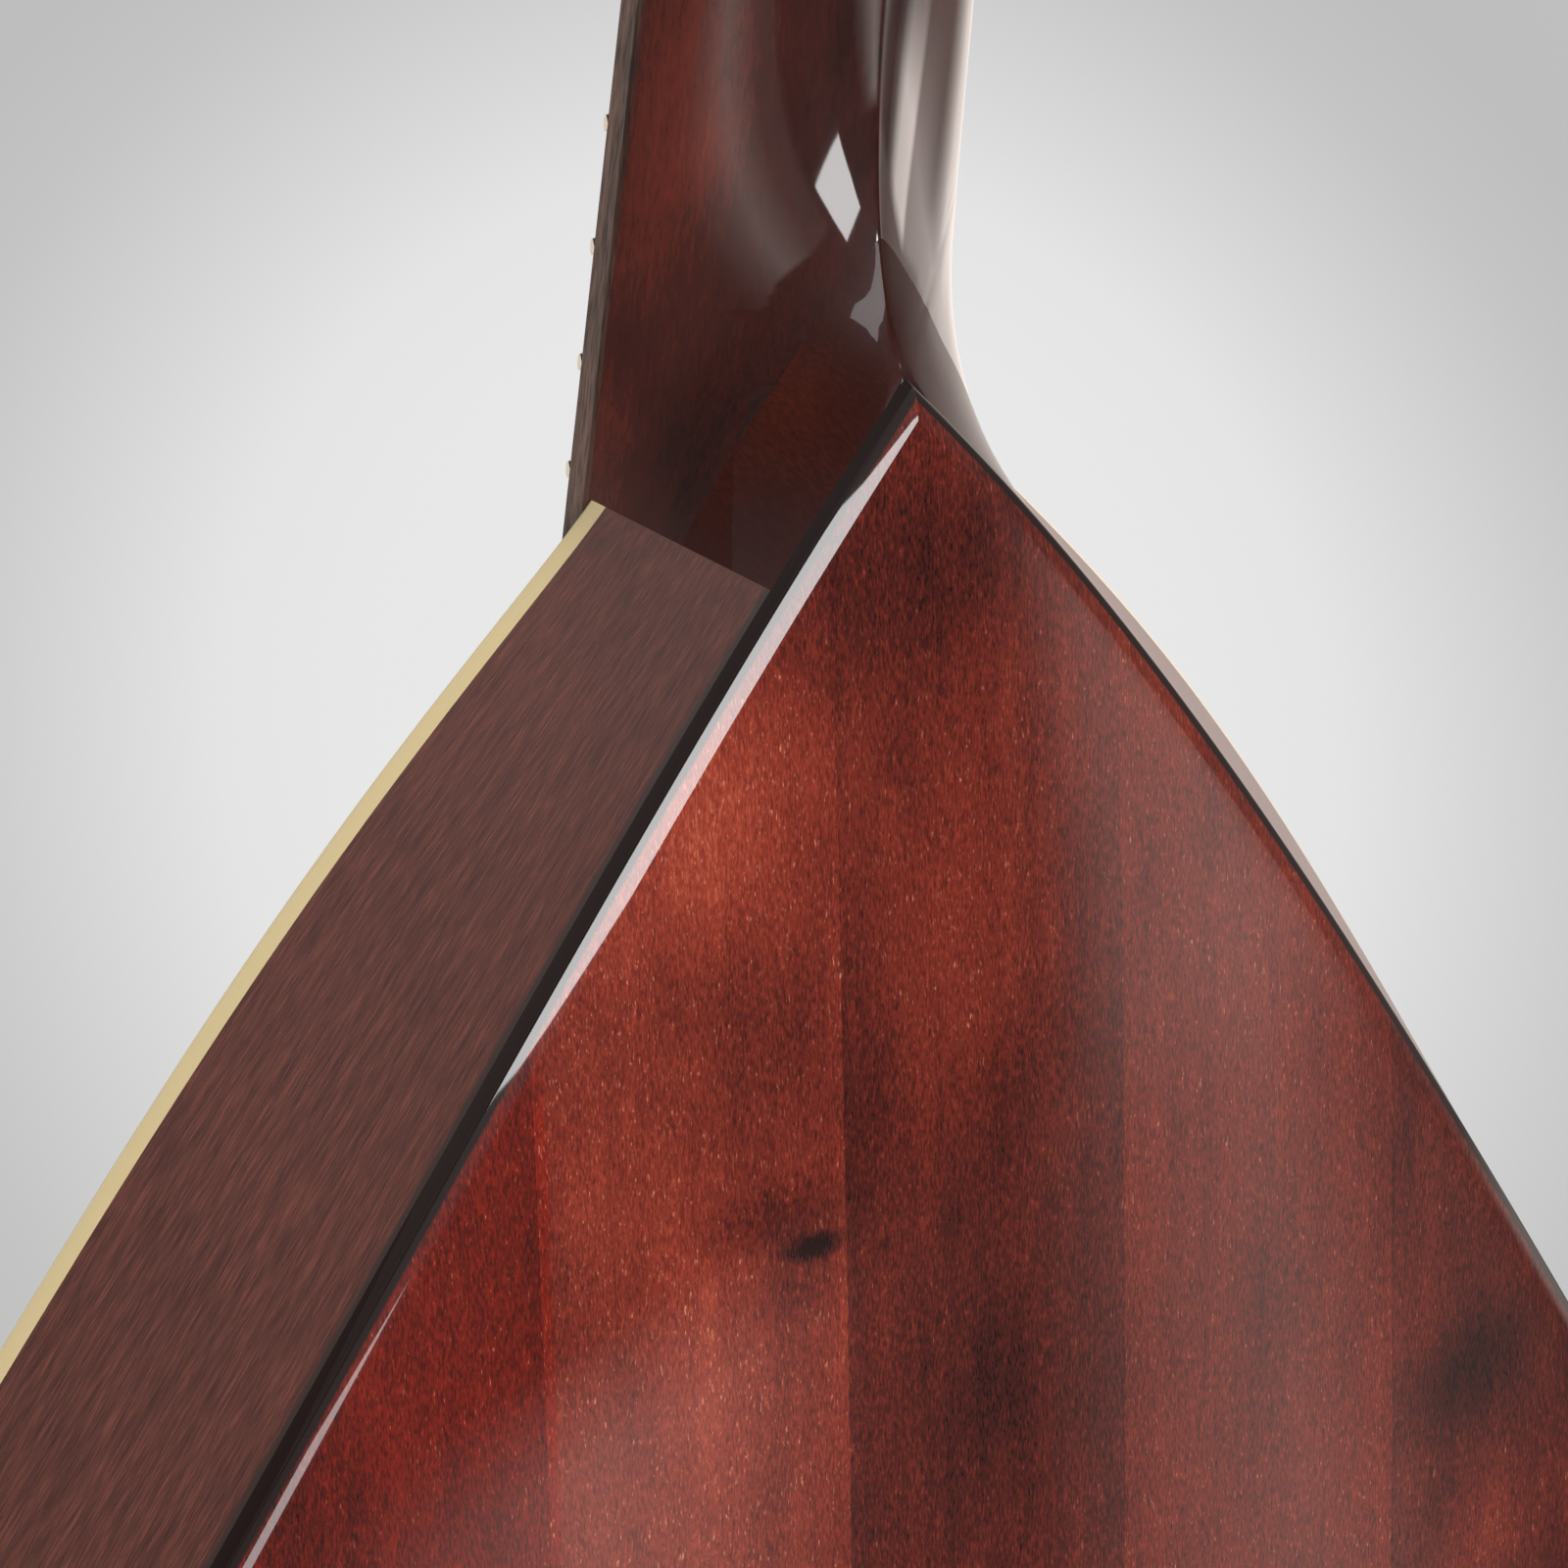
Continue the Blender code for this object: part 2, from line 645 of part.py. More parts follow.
def half_space(offset, flip, bm=None):
    """A large block on one side of the glue joint between shaft and heel."""
    angle = math.atan(HEEL_SPLIT_SLOPE)
    frame = (Matrix.Translation((0, HEEL_SPLIT_DEPTH + offset, -NECK_LENGTH))
             @ Matrix.Rotation(-angle, 4, "X"))
    reach = NECK_LENGTH + HEAD_T
    low, high = ((-reach, 0, -reach), (reach, reach, reach))
    if not flip:
        low, high = (-reach, -reach, -reach), (reach, 0, reach)
    bm = box(bmesh.new(), low, high)
    bmesh.ops.transform(bm, matrix=frame, verts=bm.verts)
    return bm


def make_neck_and_heel():
    head = extrude_outline(head_outline(), lambda p: head_point(p[0], 0.0, p[1]),
                           lambda p: head_point(p[0], -HEAD_T, p[1]))
    head_block = make_cutter(head, "headstock_block")
    holes = bmesh.new()
    for side, along in post_places():
        frame = Matrix.Translation(head_point(side * POST_X, 0, along)) @ post_turn()
        turned([(-HEAD_T - 4, POST_HOLE_R), (4, POST_HOLE_R)], frame, 12, holes)
    post_holes = make_cutter(holes, "post_hole_cutter")
    neck = finish(neck_body(), "neck", RED_BROWN, 0.12)
    boolean(neck, make_cutter(half_space(-GAP / 2, True), "heel_side"), "DIFFERENCE")
    boolean(neck, head_block, "UNION")
    boolean(neck, post_holes, "DIFFERENCE")
    heel = finish(neck_body(), "heel", RED_BROWN, 0.12)
    boolean(heel, make_cutter(half_space(GAP / 2, False), "shaft_side"), "DIFFERENCE")


def make_fingerboard():
    """The side profile, with a crown for each fret, carried across the tapering width."""
    low, high = -GAP, -FINGERBOARD_T
    end = fret_distance(LAST_FRET) + 6.0
    profile = [(0.0, low), (0.0, high)]
    for number in range(1, LAST_FRET + 1):
        along = fret_distance(number)
        half = FRET_WIDTH / 2
        profile += [(along - half, high), (along - half / 2, high - FRET_HEIGHT),
                    (along + half / 2, high - FRET_HEIGHT), (along + half, high)]
    profile += [(end, high), (end, low)]
    rings = []
    for side in (-1, 1):
        rings.append([Vector((side * neck_half(NECK_LENGTH - along), depth, -along))
                      for along, depth in profile])
    finish(loft(rings), "fingerboard", ROSEWOOD, 0.4)
    nut = box(bmesh.new(), (-NUT_HALF_WIDTH, -FINGERBOARD_T - NUT_CROWN, GAP),
              (NUT_HALF_WIDTH, -GAP, GAP + NUT_T - 0.4))
    finish(nut, "nut", BONE, 0.3)


# Tuners
def post_places():
    return [(side, POST_FIRST + POST_PITCH * k) for _, side in SIDES for k in range(4)]


def post_turn():
    """Turns the third axis of a turned piece to point out of the headstock's front."""
    return Matrix.Rotation(math.radians(90 - HEAD_ANGLE), 4, "X")


def gear_ring(frame, level):
    ring = []
    for tooth in range(GEAR_TEETH):
        for share, radius in ((0.0, GEAR_ROOT_R), (0.3, GEAR_ROOT_R), (0.45, GEAR_R), (0.85, GEAR_R)):
            angle = 2 * math.pi * (tooth + share) / GEAR_TEETH
            ring.append(frame @ Vector((radius * math.cos(angle), radius * math.sin(angle), level)))
    return ring


def worm_level():
    return -(HEAD_T + GAP + PLATE_T + GAP + GEAR_T / 2 + 0.4)


def worm_offset():
    return GEAR_R + WORM_R + GAP


def make_post(name, side, along):
    centre = head_point(side * POST_X, 0, along)
    frame = Matrix.Translation(centre) @ post_turn()
    bm = bmesh.new()
    level = worm_level()
    sides = 4 * GEAR_TEETH
    rings = [gear_ring(frame, level - GEAR_T / 2), gear_ring(frame, level + GEAR_T / 2)]
    for height in (level + GEAR_T / 2 + 0.05, POST_RISE):
        ring = []
        for k in range(sides):
            angle = 2 * math.pi * (k // 4) / GEAR_TEETH
            ring.append(frame @ Vector((POST_R * math.cos(angle), POST_R * math.sin(angle), height)))
        rings.append(ring)
    loft(rings, bm)
    bmesh.ops.remove_doubles(bm, verts=bm.verts, dist=0.0001)
    finish(bm, name, NICKEL, 0.25, 1.0, centre)


def worm_frame(side, along):
    """The worm's axis runs outwards, level with the gear and just below it."""
    centre = head_point(side * POST_X, worm_level(), along - worm_offset())
    return centre, Matrix.Translation(centre) @ Matrix.Rotation(math.radians(90 * side), 4, "Y")


def make_worm(name, side, along):
    centre, frame = worm_frame(side, along)
    reach = BUTTON_START - GAP - POST_X
    half = WORM_LENGTH / 2
    tail = half + LUG_T + 2 * GAP + WORM_TAIL
    profile = [(-tail, SHAFT_R), (-half, SHAFT_R), (-half, WORM_R), (half, WORM_R), (half, SHAFT_R),
               (reach, SHAFT_R)]
    finish(turned(profile, frame, 10), name, STEEL, 0.25, 1.0, centre)


def make_button(name, side, along):
    centre, frame = worm_frame(side, along)
    start = BUTTON_START - POST_X
    rings = []
    for share, width in ((0.0, 0.35), (0.12, 0.5), (0.3, 0.86), (0.55, 1.0), (0.8, 0.86), (1.0, 0.45)):
        ring = []
        for k in range(12):
            angle = 2 * math.pi * k / 12
            spot = (BUTTON_HALF_WIDTH * width * math.cos(angle),
                    BUTTON_HALF_T * (0.6 + 0.4 * width) * math.sin(angle), start + BUTTON_LENGTH * share)
            ring.append(frame @ Vector(spot))
        rings.append(ring)
    finish(loft(rings), name, CREAM, 0.25, 0.0, centre)


def make_tuner_plate(label, side):
    rise = -HEAD_T - GAP
    low = POST_FIRST - worm_offset() - WORM_R - PLATE_MARGIN
    high = POST_FIRST + 3 * POST_PITCH + GEAR_R + PLATE_MARGIN
    bm = bmesh.new()
    outline = [(side * POST_X - PLATE_WIDTH / 2, low), (side * POST_X + PLATE_WIDTH / 2, low),
               (side * POST_X + PLATE_WIDTH / 2, high), (side * POST_X - PLATE_WIDTH / 2, high)]
    extrude_outline(outline, lambda p: head_point(p[0], rise, p[1]),
                    lambda p: head_point(p[0], rise - PLATE_T, p[1]), bm)
    plate = finish(bm, "tuner_plate_" + label, NICKEL, 0.3, 1.0)
    lugs = bmesh.new()
    bores = bmesh.new()
    for k in range(4):
        along = POST_FIRST + POST_PITCH * k
        for way in (-1, 1):
            x = side * POST_X + way * (WORM_LENGTH / 2 + GAP + LUG_T / 2)
            near, far = along - worm_offset() - WORM_R, along - worm_offset() + WORM_R
            lug = [(x - LUG_T / 2, near), (x + LUG_T / 2, near), (x + LUG_T / 2, far), (x - LUG_T / 2, far)]
            extrude_outline(lug, lambda p: head_point(p[0], rise - PLATE_T / 2, p[1]),
                            lambda p: head_point(p[0], worm_level() - WORM_R, p[1]), lugs)
        _, frame = worm_frame(side, along)
        turned([(-WORM_LENGTH, SHAFT_R + GAP), (WORM_LENGTH, SHAFT_R + GAP)], frame, 10, bores)
        centre = head_point(side * POST_X, 0, along)
        frame = Matrix.Translation(centre) @ post_turn()
        turned([(rise - 2 * PLATE_T, POST_R + GAP), (rise + PLATE_T, POST_R + GAP)], frame, 14, bores)
    boolean(plate, make_cutter(lugs, "lugs_" + label), "UNION")
    boolean(plate, make_cutter(bores, "plate_bores_" + label), "DIFFERENCE")


def make_tuners():
    for label, side in SIDES:
        make_tuner_plate(label, side)
        for k in range(4):
            along = POST_FIRST + POST_PITCH * k
            number = label + "_" + str(k + 1)
            make_post("post_" + number, side, along)
            make_worm("worm_" + number, side, along)
            make_button("button_" + number, side, along)


# Bridge, tailpiece and end button
def make_bridge():
    reach = BRIDGE_HALF_LENGTH
    seat = SADDLE_HALF_LENGTH + SADDLE_SEAT
    step = seat + BRIDGE_STEP
    tip_top, step_top = -GAP - BRIDGE_TIP_H, -GAP - BRIDGE_STEP_H
    outline = [(-reach, -GAP), (reach, -GAP), (reach, tip_top), (step, step_top), (seat, -BRIDGE_H),
               (-seat, -BRIDGE_H), (-step, step_top), (-reach, tip_top)]
    half = BRIDGE_W / 2
    base = extrude_outline(outline, lambda p: place(p[0], p[1], BRIDGE_Y - half),
                           lambda p: place(p[0], p[1], BRIDGE_Y + half))
    finish(base, "bridge_base", ROSEWOOD, 0.45)
    reach = SADDLE_HALF_LENGTH
    top = -(STRING_AT_BRIDGE - STRING_DIAMETERS[0] / 2 - GAP)
    inner = reach - SADDLE_EASE
    ease = top + SADDLE_EASE_H
    outline = [(-reach, -BRIDGE_H - GAP), (reach, -BRIDGE_H - GAP), (reach, ease), (inner, top),
               (-inner, top), (-reach, ease)]
    half = SADDLE_W / 2
    strip = extrude_outline(outline, lambda p: place(p[0], p[1], BRIDGE_Y - half),
                            lambda p: place(p[0], p[1], BRIDGE_Y + half))
    finish(strip, "bridge_saddle", BONE, 0.3)


def string_x(course, way, spacing, pair):
    return (course - 1.5) * spacing + way * pair / 2


def hook_y():
    return BODY_LENGTH - HOOK_SETBACK


def make_tailpiece():
    t = TAILPIECE_T
    end = BODY_LENGTH + GAP
    profile = [(end - TAILPIECE_REACH, -GAP), (end, -GAP), (end, TAILPIECE_DROP), (end + t, TAILPIECE_DROP),
               (end + t, -GAP - t), (end - TAILPIECE_REACH, -GAP - t)]
    half = TAILPIECE_HALF_WIDTH
    bm = extrude_outline(profile, lambda p: place(-half, p[1], p[0]), lambda p: place(half, p[1], p[0]))
    plate = finish(bm, "tailpiece", NICKEL, 0.25, 1.0)
    hooks = bmesh.new()
    for course in range(4):
        for way in (-1, 1):
            x = string_x(course, way, COURSE_AT_TAIL, PAIR_AT_TAIL)
            low = place(x - HOOK_W / 2, -GAP - t - HOOK_H, hook_y() + HOOK_W)
            high = place(x + HOOK_W / 2, -GAP - t / 2, hook_y())
            box(hooks, low, high)
    boolean(plate, make_cutter(hooks, "tailpiece_hooks"), "UNION")


def make_cover():
    """A shallow lid with drawn-down sides that slides off over the strings' hooks."""
    half = TAILPIECE_HALF_WIDTH + COVER_T + GAP
    top = -GAP - TAILPIECE_T - COVER_HEIGHT
    foot = -GAP - TAILPIECE_T / 2
    t = COVER_T
    cut = COVER_CORNER
    turn = cut + t * math.tan(math.pi / 8)
    outer = [(-half, foot), (-half, top + cut), (-half + cut, top), (half - cut, top), (half, top + cut),
             (half, foot)]
    inner = [(half - t, foot), (half - t, top + turn), (half - turn, top + t), (turn - half, top + t),
             (-half + t, top + turn), (-half + t, foot)]
    start = BODY_LENGTH - COVER_LENGTH
    bm = extrude_outline(outer + inner, lambda p: place(p[0], p[1], start),
                         lambda p: place(p[0], p[1], start + COVER_LENGTH))
    finish(bm, "tailpiece_cover", NICKEL, 0.2, 1.0, place(0, top, start))


def make_end_button():
    depth = TAILPIECE_DROP + END_BUTTON_R + END_BUTTON_ROOM
    centre = place(0, depth, BODY_LENGTH - RIM_LEAN * depth / RIM_DEPTH + 2 * GAP)
    frame = Matrix.Translation(centre) @ Matrix.Rotation(math.pi, 4, "X")
    head = END_BUTTON_LENGTH - END_BUTTON_HEAD
    profile = [(0.0, END_BUTTON_FOOT_R), (head / 2, END_BUTTON_WAIST_R), (head, END_BUTTON_FOOT_R),
               (head + END_BUTTON_HEAD / 2, END_BUTTON_R), (END_BUTTON_LENGTH, END_BUTTON_R - END_BUTTON_EASE)]
    finish(turned(profile, frame, 16), "end_button", ROSEWOOD, 0.35, 0.0, centre)


# Strings
def tangent_angle(centre, radius, start, way):
    """Angle at which a line from the start touches the post, so that it then winds the given way."""
    base = math.atan2(start.y - centre.y, start.x - centre.x)
    spread = math.acos(radius / (start - centre).length)
    for angle in (base + spread, base - spread):
        spot = centre + radius * Vector((math.cos(angle), math.sin(angle)))
        along = way * Vector((-math.sin(angle), math.cos(angle)))
        if (spot - start).dot(along) > 0:
            return angle
    return base


def string_route(course, way):
    """From the tailpiece hook over saddle and nut, then round its post."""
    diameter = STRING_DIAMETERS[course]
    side = -1 if course < 2 else 1
    inner = way * side > 0
    rank = (0 if course in (0, 3) else 2) + (0 if inner else 1)
    x_nut = string_x(course, way, COURSE_AT_NUT, PAIR_AT_NUT)
    x_bridge = string_x(course, way, COURSE_AT_BRIDGE, PAIR_AT_BRIDGE)
    x_tail = string_x(course, way, COURSE_AT_TAIL, PAIR_AT_TAIL)
    hook_depth = -GAP - TAILPIECE_T - HOOK_H / 2
    points = [place(x_tail, hook_depth, hook_y() - GAP),
              place(x_tail, hook_depth, hook_y() - GAP - 3 * diameter),
              place(x_bridge, -STRING_AT_BRIDGE, BRIDGE_Y)]
    nut_spot = Vector((x_nut, -STRING_AT_NUT, GAP + NUT_T / 2))
    points.append(nut_spot)
    centre = Vector((side * POST_X, POST_FIRST + POST_PITCH * rank))
    radius = POST_R + GAP + diameter / 2
    turn = -side
    local = HEAD_FRAME.inverted() @ nut_spot
    start = Vector((local.x, local.z))
    angle = tangent_angle(centre, radius, start, turn)
    pitch = diameter + TURN_GAP
    top = POST_RISE - 1.5 - diameter
    count = int(STRING_TURNS * TURN_POINTS)
    for k in range(count + 1):
        theta = angle + turn * 2 * math.pi * k / TURN_POINTS
        rise = top - pitch * k / TURN_POINTS
        spot = centre + radius / math.cos(math.pi / TURN_POINTS) * Vector((math.cos(theta), math.sin(theta)))
        points.append(head_point(spot.x, rise, spot.y))
    return points, diameter


def least_gap(points, diameter):
    """Smallest clear distance between parts of a string that are half a turn or more apart."""
    skip = TURN_POINTS // 2
    samples = []
    for a, b in zip(points, points[1:]):
        samples += [(a.lerp(b, k / 4), 4 * len(samples)) for k in range(4)]
    best = 1e9
    for i in range(len(samples)):
        for j in range(i + 4 * skip, len(samples)):
            best = min(best, (samples[i][0] - samples[j][0]).length)
    return best - diameter


def make_strings():
    for course in range(4):
        for number, way in enumerate((-1, 1), 1):
            points, diameter = string_route(course, way)
            name = "string_" + "gdae"[course] + str(number)
            curve = bpy.data.curves.new(name, "CURVE")
            curve.dimensions = "3D"
            curve.bevel_depth = diameter / 2 * MM
            curve.bevel_resolution = 1
            curve.render_resolution_u = 0
            curve.use_fill_caps = True
            spline = curve.splines.new("POLY")
            spline.points.add(len(points) - 1)
            for point, spot in zip(spline.points, points):
                point.co = (*(spot * MM), 1.0)
            curve.materials.append(make_material(name, BRASS if course < 2 else STEEL, 0.3, 1.0))
            bpy.context.scene.collection.objects.link(bpy.data.objects.new(name, curve))
            print(name, "least gap to itself, mm:", round(least_gap(points[4:], diameter), 2))


def build():
    clear_scene()
    make_ribs_and_binding()
    make_soundboard()
    make_back_plate()
    make_blocks()
    make_linings()
    make_braces()
    make_pickguard()
    make_neck_and_heel()
    make_fingerboard()
    make_tuners()
    make_bridge()
    make_tailpiece()
    make_cover()
    make_end_button()
    make_strings()


build()
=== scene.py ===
import json
from math import acos, atan, atan2, copysign, cos, exp, hypot, pi, radians, sin, sqrt

import bmesh
import bpy
from mathutils import Matrix, Vector

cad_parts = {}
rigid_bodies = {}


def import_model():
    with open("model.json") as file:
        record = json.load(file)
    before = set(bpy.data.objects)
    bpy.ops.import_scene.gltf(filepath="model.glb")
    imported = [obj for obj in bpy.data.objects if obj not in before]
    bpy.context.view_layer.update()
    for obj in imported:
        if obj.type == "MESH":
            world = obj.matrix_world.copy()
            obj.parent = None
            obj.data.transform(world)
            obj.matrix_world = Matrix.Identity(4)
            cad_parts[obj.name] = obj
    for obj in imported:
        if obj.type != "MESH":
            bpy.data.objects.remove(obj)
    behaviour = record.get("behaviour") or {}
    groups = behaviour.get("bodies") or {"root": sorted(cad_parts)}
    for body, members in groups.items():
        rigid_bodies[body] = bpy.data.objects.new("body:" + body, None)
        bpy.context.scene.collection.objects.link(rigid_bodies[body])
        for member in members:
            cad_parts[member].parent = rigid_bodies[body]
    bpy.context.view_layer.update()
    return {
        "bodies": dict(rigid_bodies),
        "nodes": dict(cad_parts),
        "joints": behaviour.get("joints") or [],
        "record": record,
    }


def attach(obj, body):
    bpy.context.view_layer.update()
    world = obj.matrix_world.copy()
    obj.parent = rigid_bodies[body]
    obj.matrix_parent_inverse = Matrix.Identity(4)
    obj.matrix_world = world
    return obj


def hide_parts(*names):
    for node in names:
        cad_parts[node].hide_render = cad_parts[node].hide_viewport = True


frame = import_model()
mm = 0.001

# Portuguese mandolin, seen from behind at its heel. Lengths are in millimetres until they meet mm.
# +Z runs up the neck, the soundboard faces -Y, the back faces +Y and +X is the treble side.


# Camera, backdrop and lamps. A lamp stands at an azimuth from +Y towards +X, an elevation and a
# distance from its aim.
camera = dict(place=(454.61, 771.97, 561.34), turn=(49.8586, -4.3367, 152.8689), lens=305.5, sensor=36)
# The camera sees the paper's painted tone in the share glow, and lamps light the rest
studio = dict(floorLevel=-540, floorSize=16000, camera=0.60, fill=0.30, glow=0.8)
# The floor's paper is painted palest in an oval pool of painted light: (distance, tone). Its axes turn
# a place on the floor into a distance.
pool = dict(centre=(-223, -368), axes=((-7.17, 3.31), (1.85, 4.58)), reach=7000, gain=0.96,
            tones=((0, 0.78), (430, 0.775), (576, 0.75), (707, 0.66), (816, 0.59), (918, 0.53),
                   (1054, 0.49), (1320, 0.5), (3000, 0.6), (7000, 0.74)))
lamps = {
    "edgeSoftbox": dict(aim=(0, 20, -190), azimuth=28.5, elevation=10.2, roll=-17, away=1700,
                        size=(1410, 580), radiance=10),
    "ridgeLamp": dict(aim=(6, 14, -118), azimuth=32, elevation=-20, roll=-6, away=620,
                      size=(130, 114), radiance=5.2),
    "frontSoftbox": dict(aim=(0, 0, -200), azimuth=-150, elevation=54, roll=0, away=1900,
                         size=(1000, 900), radiance=13),
    "highSoftbox": dict(aim=(0, 0, -100), azimuth=-60, elevation=65, roll=0, away=1800,
                        size=(800, 600), radiance=9),
}
# What the gloss mirrors, by azimuth: (degrees, level). floor holds four rings around the object,
# nearest first, high is the room above it. The rings share their levels where they look alike.
behind = ((-180, 0.5), (-160, 0.5), (-150, 1.2), (-128, 1.2))
room = ((142, 1.2), (152, 1.2), (165, 0.5), (180, 0.5))
right = ((40.5, 0.02), (41.5, 0.15), (48, 0.2), (56, 0.64), (62, 0.3), (68, 0.1), (74, 0.06), (100, 0.06),
         (132, 0.08)) + room
middle = ((-46, 0.9), (-40, 0.7), (-30, 0.1), (-20, 0.12), (-4, 1.2), (8, 0.25), (13, 0.03))
distant = ((-112, 0.7), (-92, 0.5), (-70, 0.4), (-56, 0.6), (-46, 1.25), (-38, 0.9), (-33, 0.15),
           (-29, 0.03))
mirrors = dict(
    turn=13, rings=(640, 900, 1250), soft=45, tint=(1.0, 0.9, 0.84),
    floor=(behind + ((-112, 0.05), (-62, 0.05), (-54, 0.3)) + middle + right,
           behind + ((-112, 1.0), (-92, 1.05), (-91, 3.0), (-80, 3.0), (-72, 0.5), (-66, 0.12), (-54, 0.3))
           + middle + right, behind + distant + right,
           behind + distant + ((40.5, 0.02), (60, 0.03), (100, 0.05), (132, 0.08)) + room),
    high=((-180, 0.6), (-110, 0.6), (-60, 0.4), (-35, 0.06), (95, 0.06), (120, 0.5), (180, 0.6)),
    zenith=(0.35, 0.8, 0.7))


def linkObject(thing):
    bpy.context.scene.collection.objects.link(thing)
    return thing


def meshFrom(name, bm):
    mesh = bpy.data.meshes.new(name)
    bm.to_mesh(mesh)
    bm.free()
    return mesh


def makeCamera():
    lens = bpy.data.cameras.new("camera")
    lens.lens = camera["lens"]
    lens.sensor_width = camera["sensor"]
    lens.clip_start, lens.clip_end = 0.01, 60
    eye = linkObject(bpy.data.objects.new("camera", lens))
    eye.location = Vector(camera["place"]) * mm
    eye.rotation_euler = [radians(a) for a in camera["turn"]]
    bpy.context.scene.camera = eye
    bpy.context.scene.view_settings.view_transform = "Standard"


# Materials. A Wire is a socket that takes part in sums: + and the other signs make Math nodes.
class Wire:
    def __init__(self, paint, socket):
        self.paint = paint
        self.socket = socket


def operator(operation, swapped):
    def apply(wire, other):
        first, second = (other, wire) if swapped else (wire, other)
        return wire.paint.math(operation, first, second)
    return apply


operations = dict(add="ADD", sub="SUBTRACT", mul="MULTIPLY", truediv="DIVIDE", pow="POWER")
for word, operation in operations.items():
    setattr(Wire, "__%s__" % word, operator(operation, False))
    setattr(Wire, "__r%s__" % word, operator(operation, True))


class Paint:
    def __init__(self, name, world=None):
        holder = world or bpy.data.materials.new(name)
        holder.use_nodes = True
        self.material = holder
        self.tree = holder.node_tree
        self.shader = self.tree.nodes.get("Principled BSDF")

    def node(self, kind, settings=None, values=None, output=0):
        made = self.tree.nodes.new("ShaderNode" + kind)
        for key, value in (settings or {}).items():
            if key == "stops":
                self.setStops(made.color_ramp, value)
            elif key == "interpolation":
                made.color_ramp.interpolation = value
            else:
                setattr(made, key, value)
        for key, value in (values or {}).items():
            self.plug(value, made.inputs[key])
        return Wire(self, made.outputs[output])

    def setStops(self, ramp, stops):
        while len(ramp.elements) < len(stops):
            ramp.elements.new(0.5)
        for element, (place, colour) in zip(ramp.elements, stops):
            element.position = place
            element.color = (*colour, 1) if isinstance(colour, tuple) else (colour, colour, colour, 1)

    def plug(self, value, socket):
        if isinstance(value, Wire):
            self.tree.links.new(value.socket, socket)
        elif isinstance(value, tuple) and len(value) == 3 and socket.type == "RGBA":
            socket.default_value = (*value, 1)
        else:
            socket.default_value = value

    def math(self, operation, first, second=0.0):
        return self.node("Math", {"operation": operation}, {0: first, 1: second})

    def set(self, **values):
        # names are the shader's sockets, written together: BaseColor, CoatIOR
        for name, value in values.items():
            label = "".join(" " + c if c.isupper() else c for c in name).strip()
            self.plug(value, self.shader.inputs[label.replace("I O R", "IOR")])
        return self.material

    def rayIs(self, kind):
        return Wire(self, self.tree.nodes.new("ShaderNodeLightPath").outputs["Is %s Ray" % kind])

    def spot(self, turn=(0, 0, 0), stretch=(1, 1, 1), source="Object"):
        # object coordinates in millimetres, turned and stretched
        at = self.node("TexCoord", output={"Object": 3, "UV": 2}[source])
        scale = 1000.0 if source == "Object" else 1.0
        return self.node("Mapping", values={0: at, 2: [radians(t) for t in turn],
                                            3: [scale * s for s in stretch]})

    def noise(self, stretch, detail=2.0, rough=0.5, twist=0.0, turn=(0, 0, 0), source="Object"):
        # stretch is the number of cells in a millimetre, along each axis
        return self.node("TexNoise", values={"Vector": self.spot(turn, stretch, source), "Scale": 1.0,
                                             "Detail": detail, "Roughness": rough, "Distortion": twist})

    def ramp(self, value, *stops, mode="LINEAR"):
        return self.node("ValToRGB", {"stops": stops, "interpolation": mode}, {0: value})

    def range(self, value, low, high, toLow=0.0, toHigh=1.0, mode="LINEAR"):
        return self.node("MapRange", {"interpolation_type": mode},
                         {0: value, 1: low, 2: high, 3: toLow, 4: toHigh})

    def blend(self, share, first, second, mode="MIX"):
        made = self.tree.nodes.new("ShaderNodeMix")
        made.data_type = "RGBA"
        made.blend_type = mode
        self.plug(share, made.inputs[0])
        self.plug(first, made.inputs[6])
        self.plug(second, made.inputs[7])
        return Wire(self, made.outputs[2])

    def mixShader(self, share, first, second):
        made = self.tree.nodes.new("ShaderNodeMixShader")
        for value, socket in zip((share, first, second), made.inputs):
            self.plug(value, socket)
        return Wire(self, made.outputs[0])

    def axes(self, at):
        made = self.tree.nodes.new("ShaderNodeSeparateXYZ")
        self.plug(at, made.inputs[0])
        return [Wire(self, socket) for socket in made.outputs]

    def bump(self, height, strength, distance):
        return self.node("Bump", values={"Height": height, "Strength": strength, "Distance": distance * mm})

    def blob(self, at, centre, size):
        # 1 at the centre, 0 from one size away
        away = self.node("VectorMath", {"operation": "SUBTRACT"}, {0: at, 1: centre})
        away = self.node("VectorMath", {"operation": "DIVIDE"}, {0: away, 1: size})
        far = self.node("VectorMath", {"operation": "LENGTH"}, {0: away}, output=1)
        return self.range(far, 1.0, 0.0, mode="SMOOTHSTEP")


def mirrorLevel(paint, x, y, stops):
    # stops are degrees and levels; the ramp holds a tenth of the level, because it stops at 1
    angle = paint.math("ARCTAN2", x, y) * (180 / pi)
    made = paint.ramp((angle + 180.0) / 360.0, *[((a + 180) / 360, level / 10) for a, level in stops])
    return made * 10.0


